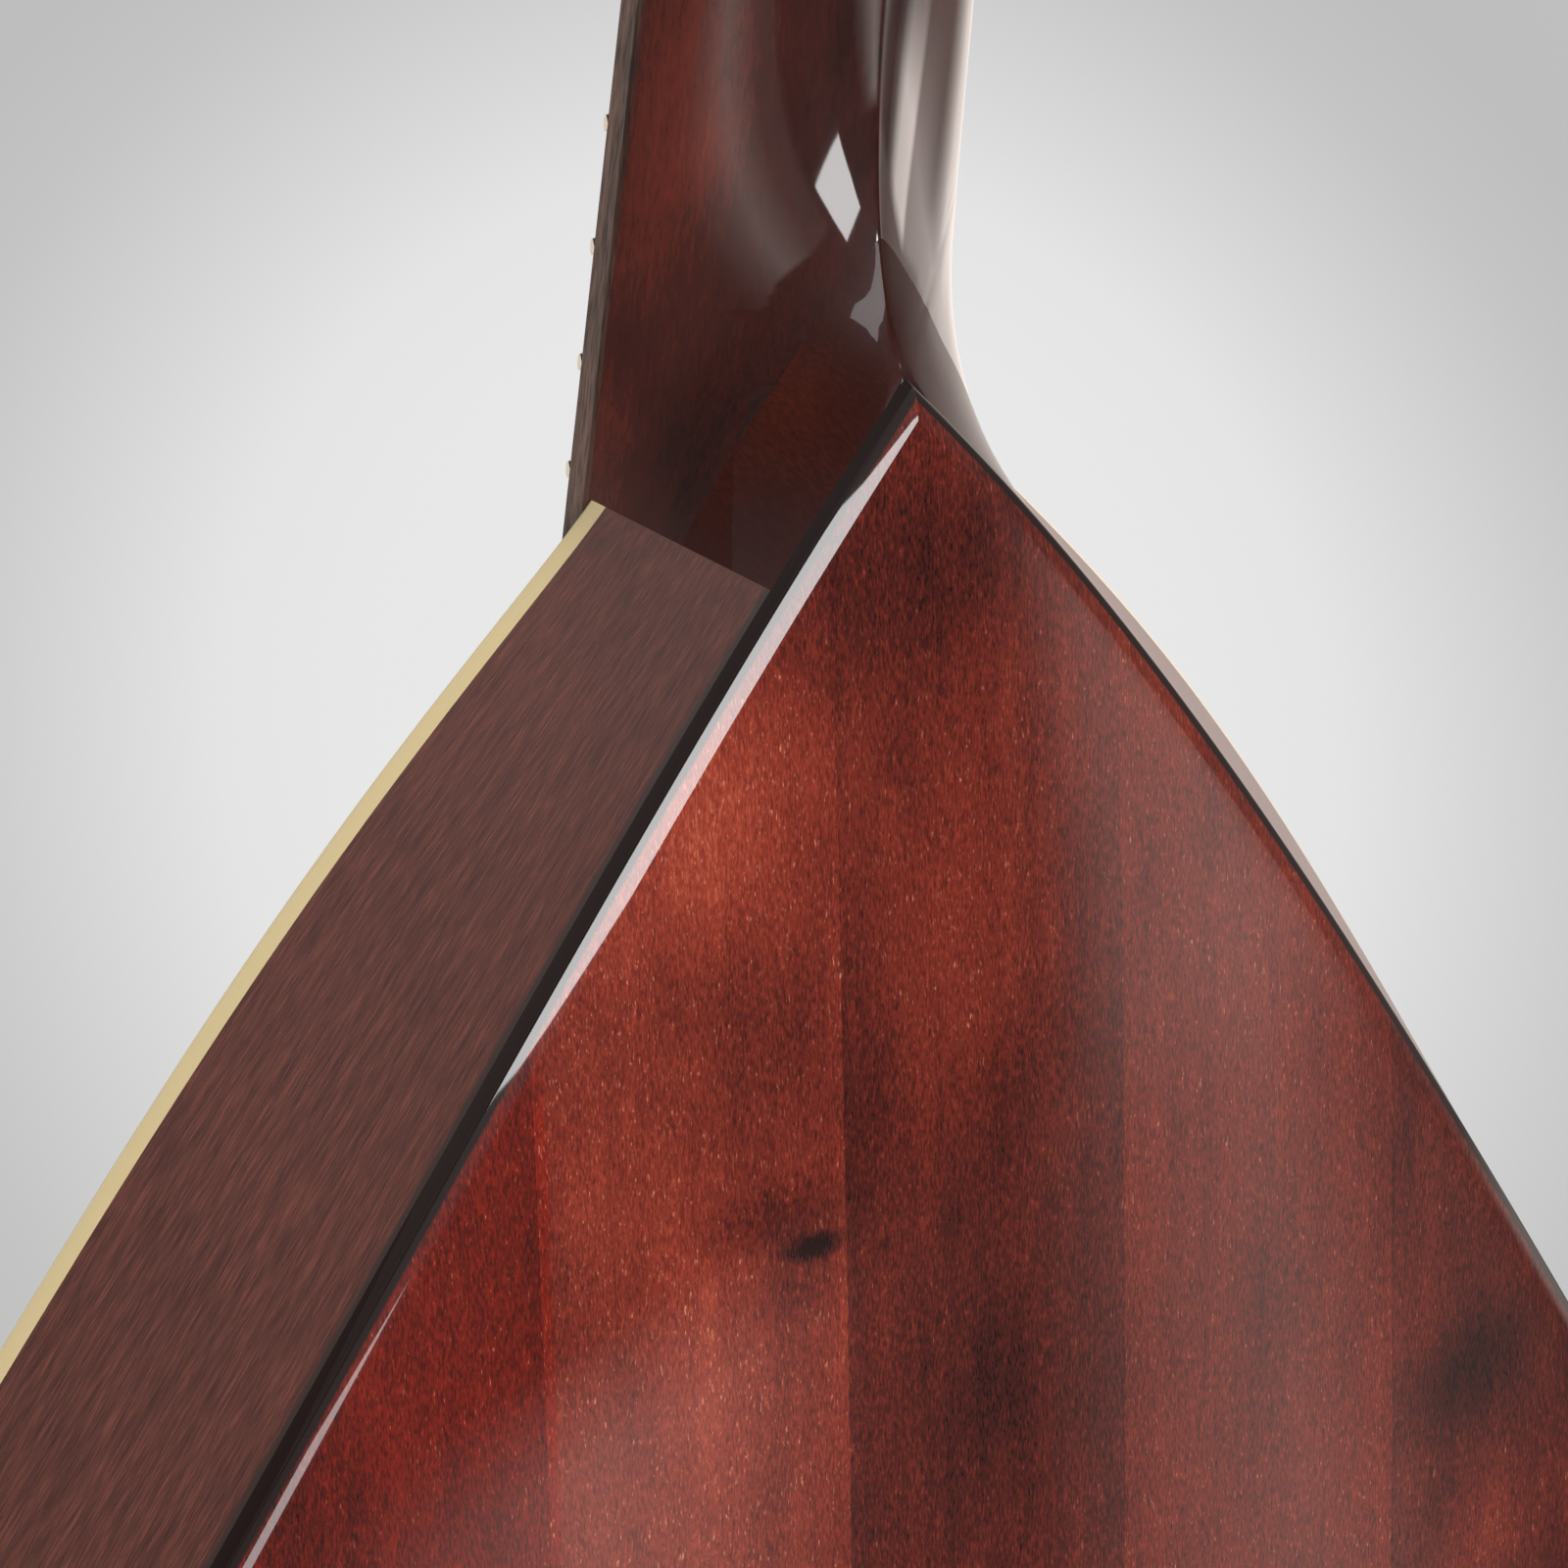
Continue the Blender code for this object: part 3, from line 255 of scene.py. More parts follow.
def makeStudio():
    world = bpy.context.scene.world or bpy.data.worlds.new("studio")
    bpy.context.scene.world = world
    sky = Paint("studio", world)
    side, depth, height = sky.axes(sky.node("TexCoord", output=0))
    low, high, gain = mirrors["zenith"]
    above = sky.range(height, low, high, 0.0, gain, "SMOOTHSTEP")
    mirror = mirrorLevel(sky, side, depth, mirrors["high"]) + above
    level = studio["fill"] + sky.rayIs("Glossy") * (mirror - studio["fill"])
    level = level + sky.rayIs("Camera") * (studio["camera"] - level)
    glow = sky.tree.nodes["Background"]
    sky.plug(level, glow.inputs[0])
    glow.inputs[1].default_value = 1.0

    bm = bmesh.new()
    bmesh.ops.create_grid(bm, x_segments=1, y_segments=1, size=studio["floorSize"] / 2 * mm)
    bmesh.ops.translate(bm, verts=bm.verts, vec=(0, 0, studio["floorLevel"] * mm))
    mesh = meshFrom("floor", bm)
    floor = linkObject(bpy.data.objects.new("floor", mesh))
    paint = Paint("paper")
    x, y, _ = paint.axes(paint.spot())
    fromX, fromY = x - pool["centre"][0], y - pool["centre"][1]
    across, along = [fromX * a + fromY * b for a, b in pool["axes"]]
    share = (across * across + along * along) ** 0.5 / pool["reach"]
    # the tone is the painted pool of light on the paper
    tone = paint.ramp(share, *[(d / pool["reach"], t * pool["gain"]) for d, t in pool["tones"]])
    isCamera, isGlossy = paint.rayIs("Camera"), paint.rayIs("Glossy")
    y = y - mirrors["turn"]
    radius = (x * x + y * y) ** 0.5
    levels = [mirrorLevel(paint, x, y, ring) for ring in mirrors["floor"]]
    mirror, soft = levels[0], mirrors["soft"]
    for edge, before, after in zip(mirrors["rings"], levels, levels[1:]):
        mirror = mirror + paint.range(radius, edge - soft, edge + soft) * (after - before)
    paint.set(BaseColor=tone, Roughness=0.9)
    seen = paint.node("Emission", values={"Color": tone, "Strength": 1.0})
    mirrored = paint.node("Emission", values={"Color": mirrors["tint"], "Strength": mirror})
    lit = paint.mixShader(isGlossy, seen, mirrored)
    made = paint.mixShader(isCamera * studio["glow"] + isGlossy, Wire(paint, paint.shader.outputs[0]), lit)
    paint.tree.links.new(made.socket, paint.tree.nodes["Material Output"].inputs[0])
    mesh.materials.append(paint.material)
    for name, lamp in lamps.items():
        light = bpy.data.lights.new(name, "AREA")
        light.shape = "RECTANGLE"
        light.size, light.size_y = [s * mm for s in lamp["size"]]
        light.energy = lamp["radiance"] * pi * light.size * light.size_y
        thing = linkObject(bpy.data.objects.new(name, light))
        turn, rise = radians(lamp["azimuth"]), radians(lamp["elevation"])
        aim = Vector(lamp["aim"]) * mm
        way = Vector((sin(turn) * cos(rise), cos(turn) * cos(rise), sin(rise)))
        thing.location = aim + way * lamp["away"] * mm
        face = (-way).to_track_quat("-Z", "Y").to_matrix() @ Matrix.Rotation(radians(lamp["roll"]), 3, "Z")
        thing.rotation_euler = face.to_euler()
        thing.visible_camera = False


makeCamera()
makeStudio()
print("camera and studio are set")


# The finishes. Planks of the back from the bass side: (edge, tone). Tones on it: (centre, reach,
# amount), as the photograph shows them.
backPlanks = dict(start=-134.0, wide=285.0,
                  edges=((-134.0, 0.44), (-105.5, 0.56), (-78.14, 0.44), (-50.5, 0.50), (-19.8, 0.43),
                         (8.4, 0.55), (35.4, 0.47), (62.0, 0.56), (91.0, 0.45)))
backTones = (((3, 28, -144), (17, 40, 18), -0.17), ((-8, 28, -146), (14, 40, 16), -0.1),
             ((20, 30, -163), (13, 40, 21), 0.26), ((30, 31, -174), (12, 40, 14), 0.12),
             ((-3, 34, -180), (13, 40, 24), 0.14), ((14, 36, -184), (9, 40, 10), -0.1),
             ((15, 40, -204), (12, 40, 6), -0.24), ((11.5, 41, -207.5), (4.2, 40, 2.2), -0.6),
             ((13.5, 41, -211), (8, 40, 5), -0.14), ((22, 40, -216), (9, 40, 16), 0.1),
             ((-3, 46, -226), (12, 40, 15), -0.1), ((-59, 41, -247), (14, 40, 9), -0.22),
             ((-62, 43, -266), (16, 40, 12), 0.2), ((15, 38, -193), (16, 40, 14), -0.16),
             ((21, 35, -180), (10, 40, 10), -0.1), ((56, 40, -230), (22, 40, 22), -0.17))


def glossBack():
    # red-brown stain over edge-glued planks, under a thick clear coat
    paint = Paint("glossBack")
    at = paint.spot()
    x, _, z = paint.axes(at)
    wavy = paint.noise((0.02, 0.02, 0.004), 1.0)
    across = x + (wavy - 0.5)
    start, wide = backPlanks["start"], backPlanks["wide"]
    stops = [((edge - start) / wide, tone) for edge, tone in backPlanks["edges"]]
    plank = paint.ramp((across - start) / wide, *stops, mode="CONSTANT")
    # the planks differ less near the heel
    plank = 0.5 + (plank - 0.5) * paint.range(z, -150.0, -200.0, 0.15, 1.0)
    cloud = paint.noise((0.05, 0.02, 0.024), 3.0, 0.55, 0.6)
    streak = paint.noise((0.55, 0.2, 0.03), 3.0, 0.6)
    fleck = paint.noise((5.6, 1.0, 1.1), 2.0, 0.65, turn=(0, 4, 0))
    pore = paint.noise((6.6, 1.0, 1.2), 1.0, 0.5, turn=(0, 4, 0))
    light = (plank - 0.5) * 2.0 + (cloud - 0.5) * 0.45 + (streak - 0.5) * 0.3 + 0.44
    for centre, size, amount in backTones:
        light = light + paint.blob(at, centre, size) * amount
    light = light + (fleck - 0.5) * 1.05
    warm = paint.ramp(light, (0.0, (0.012, 0.0025, 0.002)), (0.25, (0.06, 0.0075, 0.005)),
                      (0.5, (0.145, 0.017, 0.009)), (0.75, (0.25, 0.034, 0.017)),
                      (1.0, (0.40, 0.085, 0.042)))
    red = paint.ramp(light, (0.0, (0.012, 0.002, 0.0015)), (0.25, (0.07, 0.0045, 0.002)),
                     (0.5, (0.16, 0.009, 0.0035)), (0.75, (0.27, 0.02, 0.008)), (1.0, (0.48, 0.085, 0.035)))
    share = paint.range(across, 35.2, 35.6) * paint.range(z, -183.0, -193.0)
    share = share + paint.blob(at, (41, 34, -194), (11, 40, 12)) * 0.6
    base = paint.blend(share, warm, red)
    spark = paint.range(pore, 0.66, 0.78) * paint.range(light, 0.3, 0.6)
    base = paint.blend(spark * 0.55, base, (0.72, 0.30, 0.17))
    # the plate's own map counts its columns: the outer part of the bevel and the plate's side are
    # painted nearly black, a painted shade along the edge
    _, column, _ = paint.axes(paint.spot(source="UV"))
    rim = paint.range(column, 0.104, 0.096) + paint.range(column, 0.729, 0.737)
    base = paint.blend(rim, base, (0.011, 0.004, 0.0035))
    coat = 1.0 - paint.range(column, 0.64, 0.66) * 0.75
    return paint.set(BaseColor=base, Roughness=0.45, CoatWeight=coat, CoatRoughness=0.03,
                     SpecularIORLevel=0.1, CoatIOR=1.55)


def glossNeck():
    # the same stain, darker, over a plain straight-grained neck
    paint = Paint("glossNeck")
    at = paint.spot()
    cloud = paint.noise((0.06, 0.05, 0.018), 3.0, 0.55, 0.5)
    streak = paint.noise((0.9, 0.9, 0.03), 3.0, 0.6)
    fleck = paint.noise((3.2, 3.2, 0.5), 2.0, 0.6)
    x, _, _ = paint.axes(at)
    # painted light and shade: darker along the ridge, a painted dark reflection; lighter on the treble
    # flank above the heel, painted light; darker low on the treble side by the heel, painted shade
    ridge = paint.range(paint.math("ABSOLUTE", x), 12.5, 3.5)
    light = (cloud - 0.5) * 1.3 + (streak - 0.5) * 0.25 + (fleck - 0.5) * 0.5 + 0.4 - ridge * 0.3
    light = light + paint.blob(at, (13, 6, -108), (9, 14, 24)) * 0.32
    light = light - paint.blob(at, (12, 12, -146), (14, 14, 18)) * 0.3
    base = paint.ramp(light, (0.0, (0.012, 0.003, 0.0026)), (0.4, (0.045, 0.0075, 0.005)),
                      (0.7, (0.105, 0.014, 0.0075)), (1.0, (0.21, 0.035, 0.014)))
    return paint.set(BaseColor=base, Roughness=0.42, CoatWeight=1.0, CoatRoughness=0.04,
                     SpecularIORLevel=0.12, CoatIOR=1.9)


def glossHeel():
    # the glued heel block is a little redder than the shaft
    paint = Paint("glossHeel")
    cloud = paint.noise((0.05, 0.04, 0.03), 2.0, 0.5)
    fleck = paint.noise((3.2, 0.6, 3.2), 2.0, 0.6, turn=(35, 0, 0))
    light = (cloud - 0.5) * 0.9 + (fleck - 0.5) * 0.5 + 0.5
    base = paint.ramp(light, (0.0, (0.009, 0.002, 0.0015)), (0.5, (0.028, 0.005, 0.003)),
                      (1.0, (0.085, 0.014, 0.006)))
    return paint.set(BaseColor=base, Roughness=0.42, CoatWeight=0.45, CoatRoughness=0.04,
                     SpecularIORLevel=0.12, CoatIOR=1.35)


def satinRib():
    # brown stain, satin, with fine streaks along the bent rib and a painted shade band under the back;
    # its own map runs along and across it
    paint = Paint("satinRib")
    streak = paint.noise((30, 70, 1), 3.0, 0.6, source="UV")
    fine = paint.noise((75, 330, 1), 2.0, 0.7, source="UV")
    cloud = paint.noise((0.03, 0.03, 0.03), 2.0)
    light = (streak - 0.5) * 1.2 + (fine - 0.5) * 2.4 + (cloud - 0.5) * 0.3 + 0.5
    base = paint.ramp(light, (0.0, (0.045, 0.011, 0.008)), (0.5, (0.088, 0.023, 0.016)),
                      (1.0, (0.165, 0.046, 0.031)))
    _, across, _ = paint.axes(paint.spot(source="UV"))
    # its last strip under the back is painted dark: painted shade below the back plate's edge
    base = paint.blend(paint.range(across, 0.49, 0.505), base, (0.03, 0.014, 0.011))
    return paint.set(BaseColor=base, Roughness=0.36, Normal=paint.bump(fine, 0.15, 0.15),
                     SpecularIORLevel=0.6)


def clouded(name, rough, noise, *stops):
    # one cloud of tone and nothing else
    paint = Paint(name)
    return paint.set(BaseColor=paint.ramp(paint.noise(**noise), *stops), Roughness=rough)


def spruceTop():
    # fine straight grain, darker late wood every 1.5 mm or so, under clear gloss
    paint = Paint("spruceTop")
    x, _, _ = paint.axes(paint.spot())
    wander = paint.noise((0.02, 0.02, 0.006), 2.0)
    spacing = paint.noise((0.05, 0.01, 0.002), 1.0)
    across = x + (wander - 0.5) * 4.0 + (spacing - 0.5) * 14.0
    line = paint.math("FRACT", across / 1.5)
    late = paint.range(line, 0.55, 0.98) * paint.range(line, 1.0, 0.985)
    silk = paint.noise((0.6, 0.6, 0.09), 3.0, 0.6)
    tone = paint.ramp(silk, (0.3, (0.60, 0.36, 0.15)), (0.7, (0.72, 0.46, 0.21)))
    base = paint.blend(late * 0.55, tone, (0.34, 0.15, 0.05))
    return paint.set(BaseColor=base, Roughness=0.45, CoatWeight=1.0, CoatRoughness=0.07,
                     SpecularIORLevel=0.3)


def rosewood(name="rosewood", rough=0.42, along="z"):
    paint = Paint(name)
    stretch = (0.9, 0.9, 0.05) if along == "z" else (0.05, 0.9, 0.9)
    fine = (4, 4, 0.3) if along == "z" else (0.3, 4, 4)
    band = paint.noise(stretch, 4.0, 0.65, 0.5)
    pore = paint.noise(fine, 2.0, 0.6)
    base = paint.ramp(band, (0.3, (0.034, 0.016, 0.011)), (0.5, (0.085, 0.041, 0.028)),
                      (0.75, (0.15, 0.075, 0.05)))
    base = paint.blend(paint.range(pore, 0.5, 0.35) * 0.6, base, (0.008, 0.004, 0.004))
    return paint.set(BaseColor=base, Roughness=paint.range(pore, 0.3, 0.7, rough + 0.15, rough - 0.08),
                     Normal=paint.bump(pore, 0.25, 0.1), SpecularIORLevel=0.28)


def bareWood():
    paint = Paint("bareWood")
    grain = paint.noise((0.5, 0.5, 0.5), 4.0, 0.6, 1.2)
    fine = paint.noise((2.5, 2.5, 0.5), 2.0)
    base = paint.ramp(grain * 0.6 + fine * 0.4, (0.35, (0.40, 0.22, 0.10)), (0.65, (0.56, 0.35, 0.17)))
    return paint.set(BaseColor=base, Roughness=0.75, Normal=paint.bump(fine, 0.2, 0.1))


def metal(name, colour, rough, brushed=0.3):
    paint = Paint(name)
    line = paint.noise((0.6, 0.6, 9.0), 2.0, 0.6)
    tint = paint.ramp(line, (0.3, tuple(c * 0.9 for c in colour)), (0.7, colour))
    return paint.set(BaseColor=tint, Metallic=1.0,
                     Roughness=paint.range(line, 0.3, 0.7, rough * 0.8, rough * 1.25),
                     Normal=paint.bump(line, brushed * 0.1, 0.02))


def woundString():
    # close bronze wraps; the map counts millimetres along the string
    paint = Paint("woundString")
    along, _, _ = paint.axes(paint.spot(source="UV"))
    wrap = paint.math("PINGPONG", along, 0.16)
    # the grooves between wraps are painted dark, a painted shade
    base = paint.ramp(wrap / 0.16, (0.0, (0.16, 0.09, 0.035)), (0.5, (0.62, 0.40, 0.17)),
                      (1.0, (0.74, 0.52, 0.26)))
    return paint.set(BaseColor=base, Metallic=1.0, Roughness=0.3, Normal=paint.bump(wrap / 0.16, 0.6, 0.06))


finishes = dict(
    back=glossBack(), neck=glossNeck(), heel=glossHeel(), rib=satinRib(), spruce=spruceTop(),
    rosewood=rosewood(), bridge=rosewood("bridgeWood", 0.45, "x"), bare=bareWood(), wound=woundString(),
    binding=clouded("creamBinding", 0.28, dict(stretch=(8, 900, 1), source="UV"),
                    (0.3, (0.60, 0.46, 0.23)), (0.7, (0.70, 0.57, 0.32))),
    button=clouded("creamButton", 0.22, dict(stretch=(0.12, 0.12, 0.12), twist=0.8),
                   (0.3, (0.60, 0.50, 0.30)), (0.7, (0.76, 0.68, 0.47))),
    bone=clouded("bone", 0.3, dict(stretch=(0.5, 0.5, 0.5), detail=3.0),
                 (0.3, (0.70, 0.64, 0.50)), (0.7, (0.82, 0.78, 0.66))),
    tortoise=clouded("tortoise", 0.12, dict(stretch=(0.14, 0.14, 0.14), twist=1.5),
                     (0.4, (0.012, 0.004, 0.003)), (0.55, (0.06, 0.016, 0.005)),
                     (0.7, (0.22, 0.07, 0.012))),
    nickel=metal("nickel", (0.66, 0.64, 0.60), 0.2), steel=metal("steel", (0.56, 0.56, 0.57), 0.28),
    wire=metal("plainString", (0.62, 0.62, 0.62), 0.22), brass=metal("fretWire", (0.70, 0.66, 0.56), 0.25))
print("finishes are mixed:", len(finishes))


# How a piece is made: a grid of squares is laid over the shape, wrapped shut where the shape is closed
def skin(columns, rows, shape, wrap=False, closed=False):
    bm = bmesh.new()
    bmesh.ops.create_grid(bm, x_segments=columns, y_segments=rows, size=1.0)
    uv = bm.loops.layers.uv.new("map")
    for face in bm.faces:
        for loop in face.loops:
            loop[uv].uv = ((loop.vert.co.y + 1) / 2, (loop.vert.co.x + 1) / 2)
    for vert in bm.verts:
        i = round((vert.co.x + 1) / 2 * columns)
        j = round((vert.co.y + 1) / 2 * rows)
        spot = shape(i % columns if wrap else i, j % rows if closed else j)
        vert.co = Vector(spot) * mm
    bmesh.ops.remove_doubles(bm, verts=bm.verts, dist=0.000002)
    bmesh.ops.dissolve_degenerate(bm, edges=bm.edges, dist=0.000001)
    closeHoles(bm)
    return bm


def closeHoles(bm):
    rim = [edge for edge in bm.edges if edge.is_boundary]
    if rim:
        bmesh.ops.holes_fill(bm, edges=rim, sides=0)


def turns(start, stop, steps):
    # the angles of an arc, given in degrees, with both ends
    return [radians(start + (stop - start) * k / steps) for k in range(steps + 1)]


largeFace = 200


def smoothMesh(mesh, sharp=35):
    # a large flat face keeps its own normals, so that it mirrors flat up to its softened edges
    mesh.shade_smooth()
    mesh.set_sharp_from_angle(angle=radians(sharp))
    for face in mesh.polygons:
        if face.area > largeFace * mm * mm:
            for corner in face.loop_indices:
                mesh.edges[mesh.loops[corner].edge_index].use_edge_sharp = True


def finishPiece(name, bm, finish, nodes=(), sharp=35, body="instrument"):
    bmesh.ops.recalc_face_normals(bm, faces=bm.faces)
    mesh = meshFrom(name, bm)
    smoothMesh(mesh, sharp)
    mesh.materials.append(finishes[finish])
    piece = linkObject(bpy.data.objects.new(name, mesh))
    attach(piece, body)
    if nodes:
        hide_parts(*nodes)
    return piece


def cutWith(piece, tool, operation="DIFFERENCE"):
    # apply a Boolean at once, so that the finished piece has no live cutter
    cutter = linkObject(bpy.data.objects.new("cutter", meshFrom("cutter", tool)))
    step = piece.modifiers.new("cut", "BOOLEAN")
    step.operation = operation
    step.solver = "EXACT"
    step.object = cutter
    shown = bpy.context.evaluated_depsgraph_get()
    shown.update()
    mesh = bpy.data.meshes.new_from_object(piece.evaluated_get(shown))
    piece.modifiers.remove(step)
    piece.data = mesh
    bpy.data.objects.remove(cutter)
    smoothMesh(mesh)


def rod(bm, frame, radius, depth, sides, tip=None):
    # a round rod centred on the frame and along its third axis
    bmesh.ops.create_cone(bm, cap_ends=True, segments=sides, radius1=radius, radius2=tip or radius,
                          depth=depth, matrix=Matrix.Scale(mm, 4) @ frame)


def prism(outline, lay, low, high, bevel, segments=3):
    # an outline laid at two levels by one map, with its two edges softened
    bm = bmesh.new()
    lower = [bm.verts.new(Vector(lay(p, low)) * mm) for p in outline]
    base = bm.faces.new(lower)
    made = bmesh.ops.extrude_face_region(bm, geom=[base])
    upper = [v for v in made["geom"] if isinstance(v, bmesh.types.BMVert)]
    for vert in upper:
        near = min(range(len(outline)), key=lambda i: (lower[i].co - vert.co).length)
        vert.co = Vector(lay(outline[near], high)) * mm
    bmesh.ops.recalc_face_normals(bm, faces=bm.faces)
    caps = sorted(bm.faces, key=lambda f: -len(f.verts))[:2]
    rims = {edge for face in caps for edge in face.edges}
    bmesh.ops.bevel(bm, geom=list(rims), offset=bevel * mm, segments=segments, affect="EDGES", profile=0.5,
                    material=-1, clamp_overlap=True)
    return bm


# The body's shape, from the same sizes as the CAD model
body = dict(scaleLength=350, joint=350 * (1 - 2 ** (-10 / 12)), jointHalf=17, nutHalf=13.5, lower=115,
            slope=0.516, offset=28, shoulderFade=31, shoulderPower=1.3, lean=3.6, backPoint=24.5,
            backFade=38, rim=40.5, rimDrop=12, rimFade=85, crown=20.47, rib=2, top=2, back=2.5,
            bindingWide=1.8, bindingDeep=2.4, bindingEase=0.7, seamLean=0.304)
flankAngle = atan(body["slope"])
boutCentre = (body["lower"] / cos(flankAngle) - body["offset"]) / body["slope"]
backRadius = body["lower"] - body["lean"]
backOffset = backRadius / cos(flankAngle) - body["slope"] * boutCentre
tail = boutCentre + body["lower"]


def place(x, depth, below):
    return Vector((x, depth, -(body["joint"] + below)))


def across(p, below):
    # an outline of (x, depth) laid below the neck joint
    return place(p[0], p[1], below)


def alongside(p, x):
    # an outline of (below, depth) laid at one side
    return place(x, p[1], p[0])


def frontHalf(y):
    if y > boutCentre - body["lower"] * sin(flankAngle):
        return sqrt(max(body["lower"] ** 2 - (y - boutCentre) ** 2, 0))
    fade = 1 - exp(-(max(y, 0) / body["shoulderFade"]) ** body["shoulderPower"])
    return body["jointHalf"] + body["slope"] * y + (body["offset"] - body["jointHalf"]) * fade


def backHalf(y):
    if y > boutCentre - backRadius * sin(flankAngle):
        return sqrt(max(backRadius ** 2 - (y - boutCentre) ** 2, 0))
    u = max(y + body["backPoint"], 0)
    rise = backOffset - body["slope"] * body["backPoint"]
    return body["slope"] * u + rise * (1 - exp(-u / body["backFade"]))


def rimDepth(y):
    return body["rim"] - body["rimDrop"] * exp(-y / body["rimFade"])


def crown(y):
    share = min(max((y + body["backPoint"]) / (body["backPoint"] + boutCentre + backRadius), 0), 1)
    return body["crown"] * sin(pi * share ** 1.5)


def seamBack():
    y = 0.0
    for _ in range(8):
        y = -body["seamLean"] * (rimDepth(y) - body["back"])
    return y


outlineSteps = dict(flank=54, bout=48)


def halfOutline(half, start, radius):
    tangent = boutCentre - radius * sin(flankAngle)
    points = []
    for k in range(outlineSteps["flank"]):
        y = start + (tangent - start) * (k / outlineSteps["flank"]) ** 1.25
        points.append(Vector((half(y), y)))
    for k in range(outlineSteps["bout"] + 1):
        angle = -flankAngle + (pi / 2 + flankAngle) * k / outlineSteps["bout"]
        points.append(Vector((radius * cos(angle), boutCentre + radius * sin(angle))))
    return points


frontLine = halfOutline(frontHalf, 0.0, body["lower"])
backLine = halfOutline(backHalf, seamBack(), backRadius)
stations = len(frontLine)


def insetPoint(points, i, inset):
    before, after = points[max(i - 1, 0)], points[min(i + 1, len(points) - 1)]
    along = (after - before).normalized()
    if i == len(points) - 1:
        along = Vector((-1, 0))
    if i == 0:
        return Vector((points[0].x - inset / along.y, points[0].y))
    return Vector((points[i].x - along.y * inset, points[i].y + along.x * inset))


def rimPoint(i, depth, inset, side):
    front, back = insetPoint(frontLine, i, inset), insetPoint(backLine, i, inset)
    spot = front.lerp(back, depth / (rimDepth(backLine[i].y) - body["back"]))
    return place(side * (0 if i == stations - 1 else spot.x), depth, spot.y)


# The back: arched plate, its edge scraped to a slightly rounded bevel with a tight lip
backEdge = dict(across=28, under=8, pointRows=26,
                stations=(0, 0.01, 0.04, 0.08, 0.12, 0.16, 0.6, 0.95, 1.3, 1.58, 1.62, 1.66), lip=0.12,
                wide=1.5, outer=0.88, inner=0.385, lipDrop=0.12, shadedRibBand=0.5)


def edgeFall(away, lean):
    # how far the bevel lies below the plate at a distance from the outline; lean is the plate's own slope
    lip, wide = backEdge["lip"], backEdge["wide"]
    outer, inner = backEdge["outer"] - lean, backEdge["inner"] - lean
    s = min(max(away - lip, 0), wide)
    fall = outer * (wide - s) - (outer - inner) / (2 * wide) * (wide * wide - s * s)
    if away < lip:
        fall += outer * (lip - away) + backEdge["lipDrop"] * (1 - sqrt(max(1 - (1 - away / lip) ** 2, 0)))
    return fall


sides = (("Bass", "bass", -1), ("Treble", "treble", 1))


def makeRibs():
    for label, node, side in sides:
        def section(c, i):
            near, far = body["bindingDeep"], rimDepth(backLine[i].y) - body["back"]
            # the strip from band up to the back is painted dark on the rib, a painted shade
            band = far - backEdge["shadedRibBand"]
            if c <= 6:
                return rimPoint(i, near + (band - near) * c / 6, 0, side)
            if c == 7:
                return rimPoint(i, far, 0, side)
            return rimPoint(i, far + (near - far) * (c - 8) / 3, body["rib"], side)
        finishPiece("rib" + label, skin(12, stations - 1, section, wrap=True), "rib", ["rib_" + node])

        def edge(c, i):
            wide, deep, ease = body["bindingWide"], body["bindingDeep"], body["bindingEase"]
            if c <= 4:
                turn = pi / 2 * c / 4
                return rimPoint(i, ease * (1 - sin(turn)), ease * (1 - cos(turn)), side)
            return rimPoint(i, (0, deep, deep)[c - 5], (wide, wide, 0)[c - 5], side)
        finishPiece("binding" + label, skin(8, stations - 1, edge, wrap=True), "binding",
                    ["binding_" + node], sharp=50)


def backRows():
    rows = []
    start = -body["backPoint"]
    count = backEdge["pointRows"]
    for k in range(count):
        y = start + (backLine[0].y - start) * (k / count) ** 1.5
        rows.append((backHalf(y), y))
    rows += [(p.x, p.y) for p in backLine[:-1]]
    return rows + [(0.0, backLine[-1].y)]


def makeBack():
    rows = backRows()
    stops, columns, under = backEdge["stations"], backEdge["across"], backEdge["under"]
    steps, r = len(stops) - 1, stops[-1]

    def edgeShare(half, y):
        # how far the lateral distance counts as distance from the outline
        if y > boutCentre - backRadius * sin(flankAngle):
            return max(half / backRadius, 0.02)
        return cos(atan(body["slope"]))

    def top(x, half, y):
        if y > boutCentre:
            away = backRadius - hypot(x, y - boutCentre)
        else:
            away = (half - abs(x)) * edgeShare(half, y)
        share = x / half if half > 0 else 0
        lean = min(2 * crown(y) / max(half * edgeShare(half, y), 1), 0.3)
        return rimDepth(y) + crown(y) * (1 - share * share) - edgeFall(min(max(away, 0), r), lean)

    count = 2 * steps + columns

    def section(c, j):
        half, y = rows[j]
        if c <= count:
            if c < steps:
                x = half - min(stops[c] / edgeShare(half, y), half)
            elif c > count - steps:
                x = min(stops[count - c] / edgeShare(half, y), half) - half
            else:
                inner = half - min(r / edgeShare(half, y), half)
                x = inner * (1 - 2 * (c - steps) / columns)
            return place(x, top(x, half, y), y)
        share = 2 * (c - count - 1) / under - 1
        return place(share * half, rimDepth(y) - body["back"] + crown(y) * (1 - share * share), y)
    finishPiece("backPlate", skin(count + under + 2, len(rows) - 1, section, wrap=True), "back",
                ["back_plate"], sharp=50)


makeRibs()
makeBack()
print("ribs, bindings and back are made")


# Neck and heel in one surface, then cut along the glue line
neck = dict(depthNut=12.0, depthHeel=12.6, scoop=40, soften=9, splitDepth=12.5, splitSlope=0.09,
            headPivot=4.5, ringSide=22, rows=(18, 44, 20),
            heelPower=1.05, shaftPower=1.47, gap=0.3)


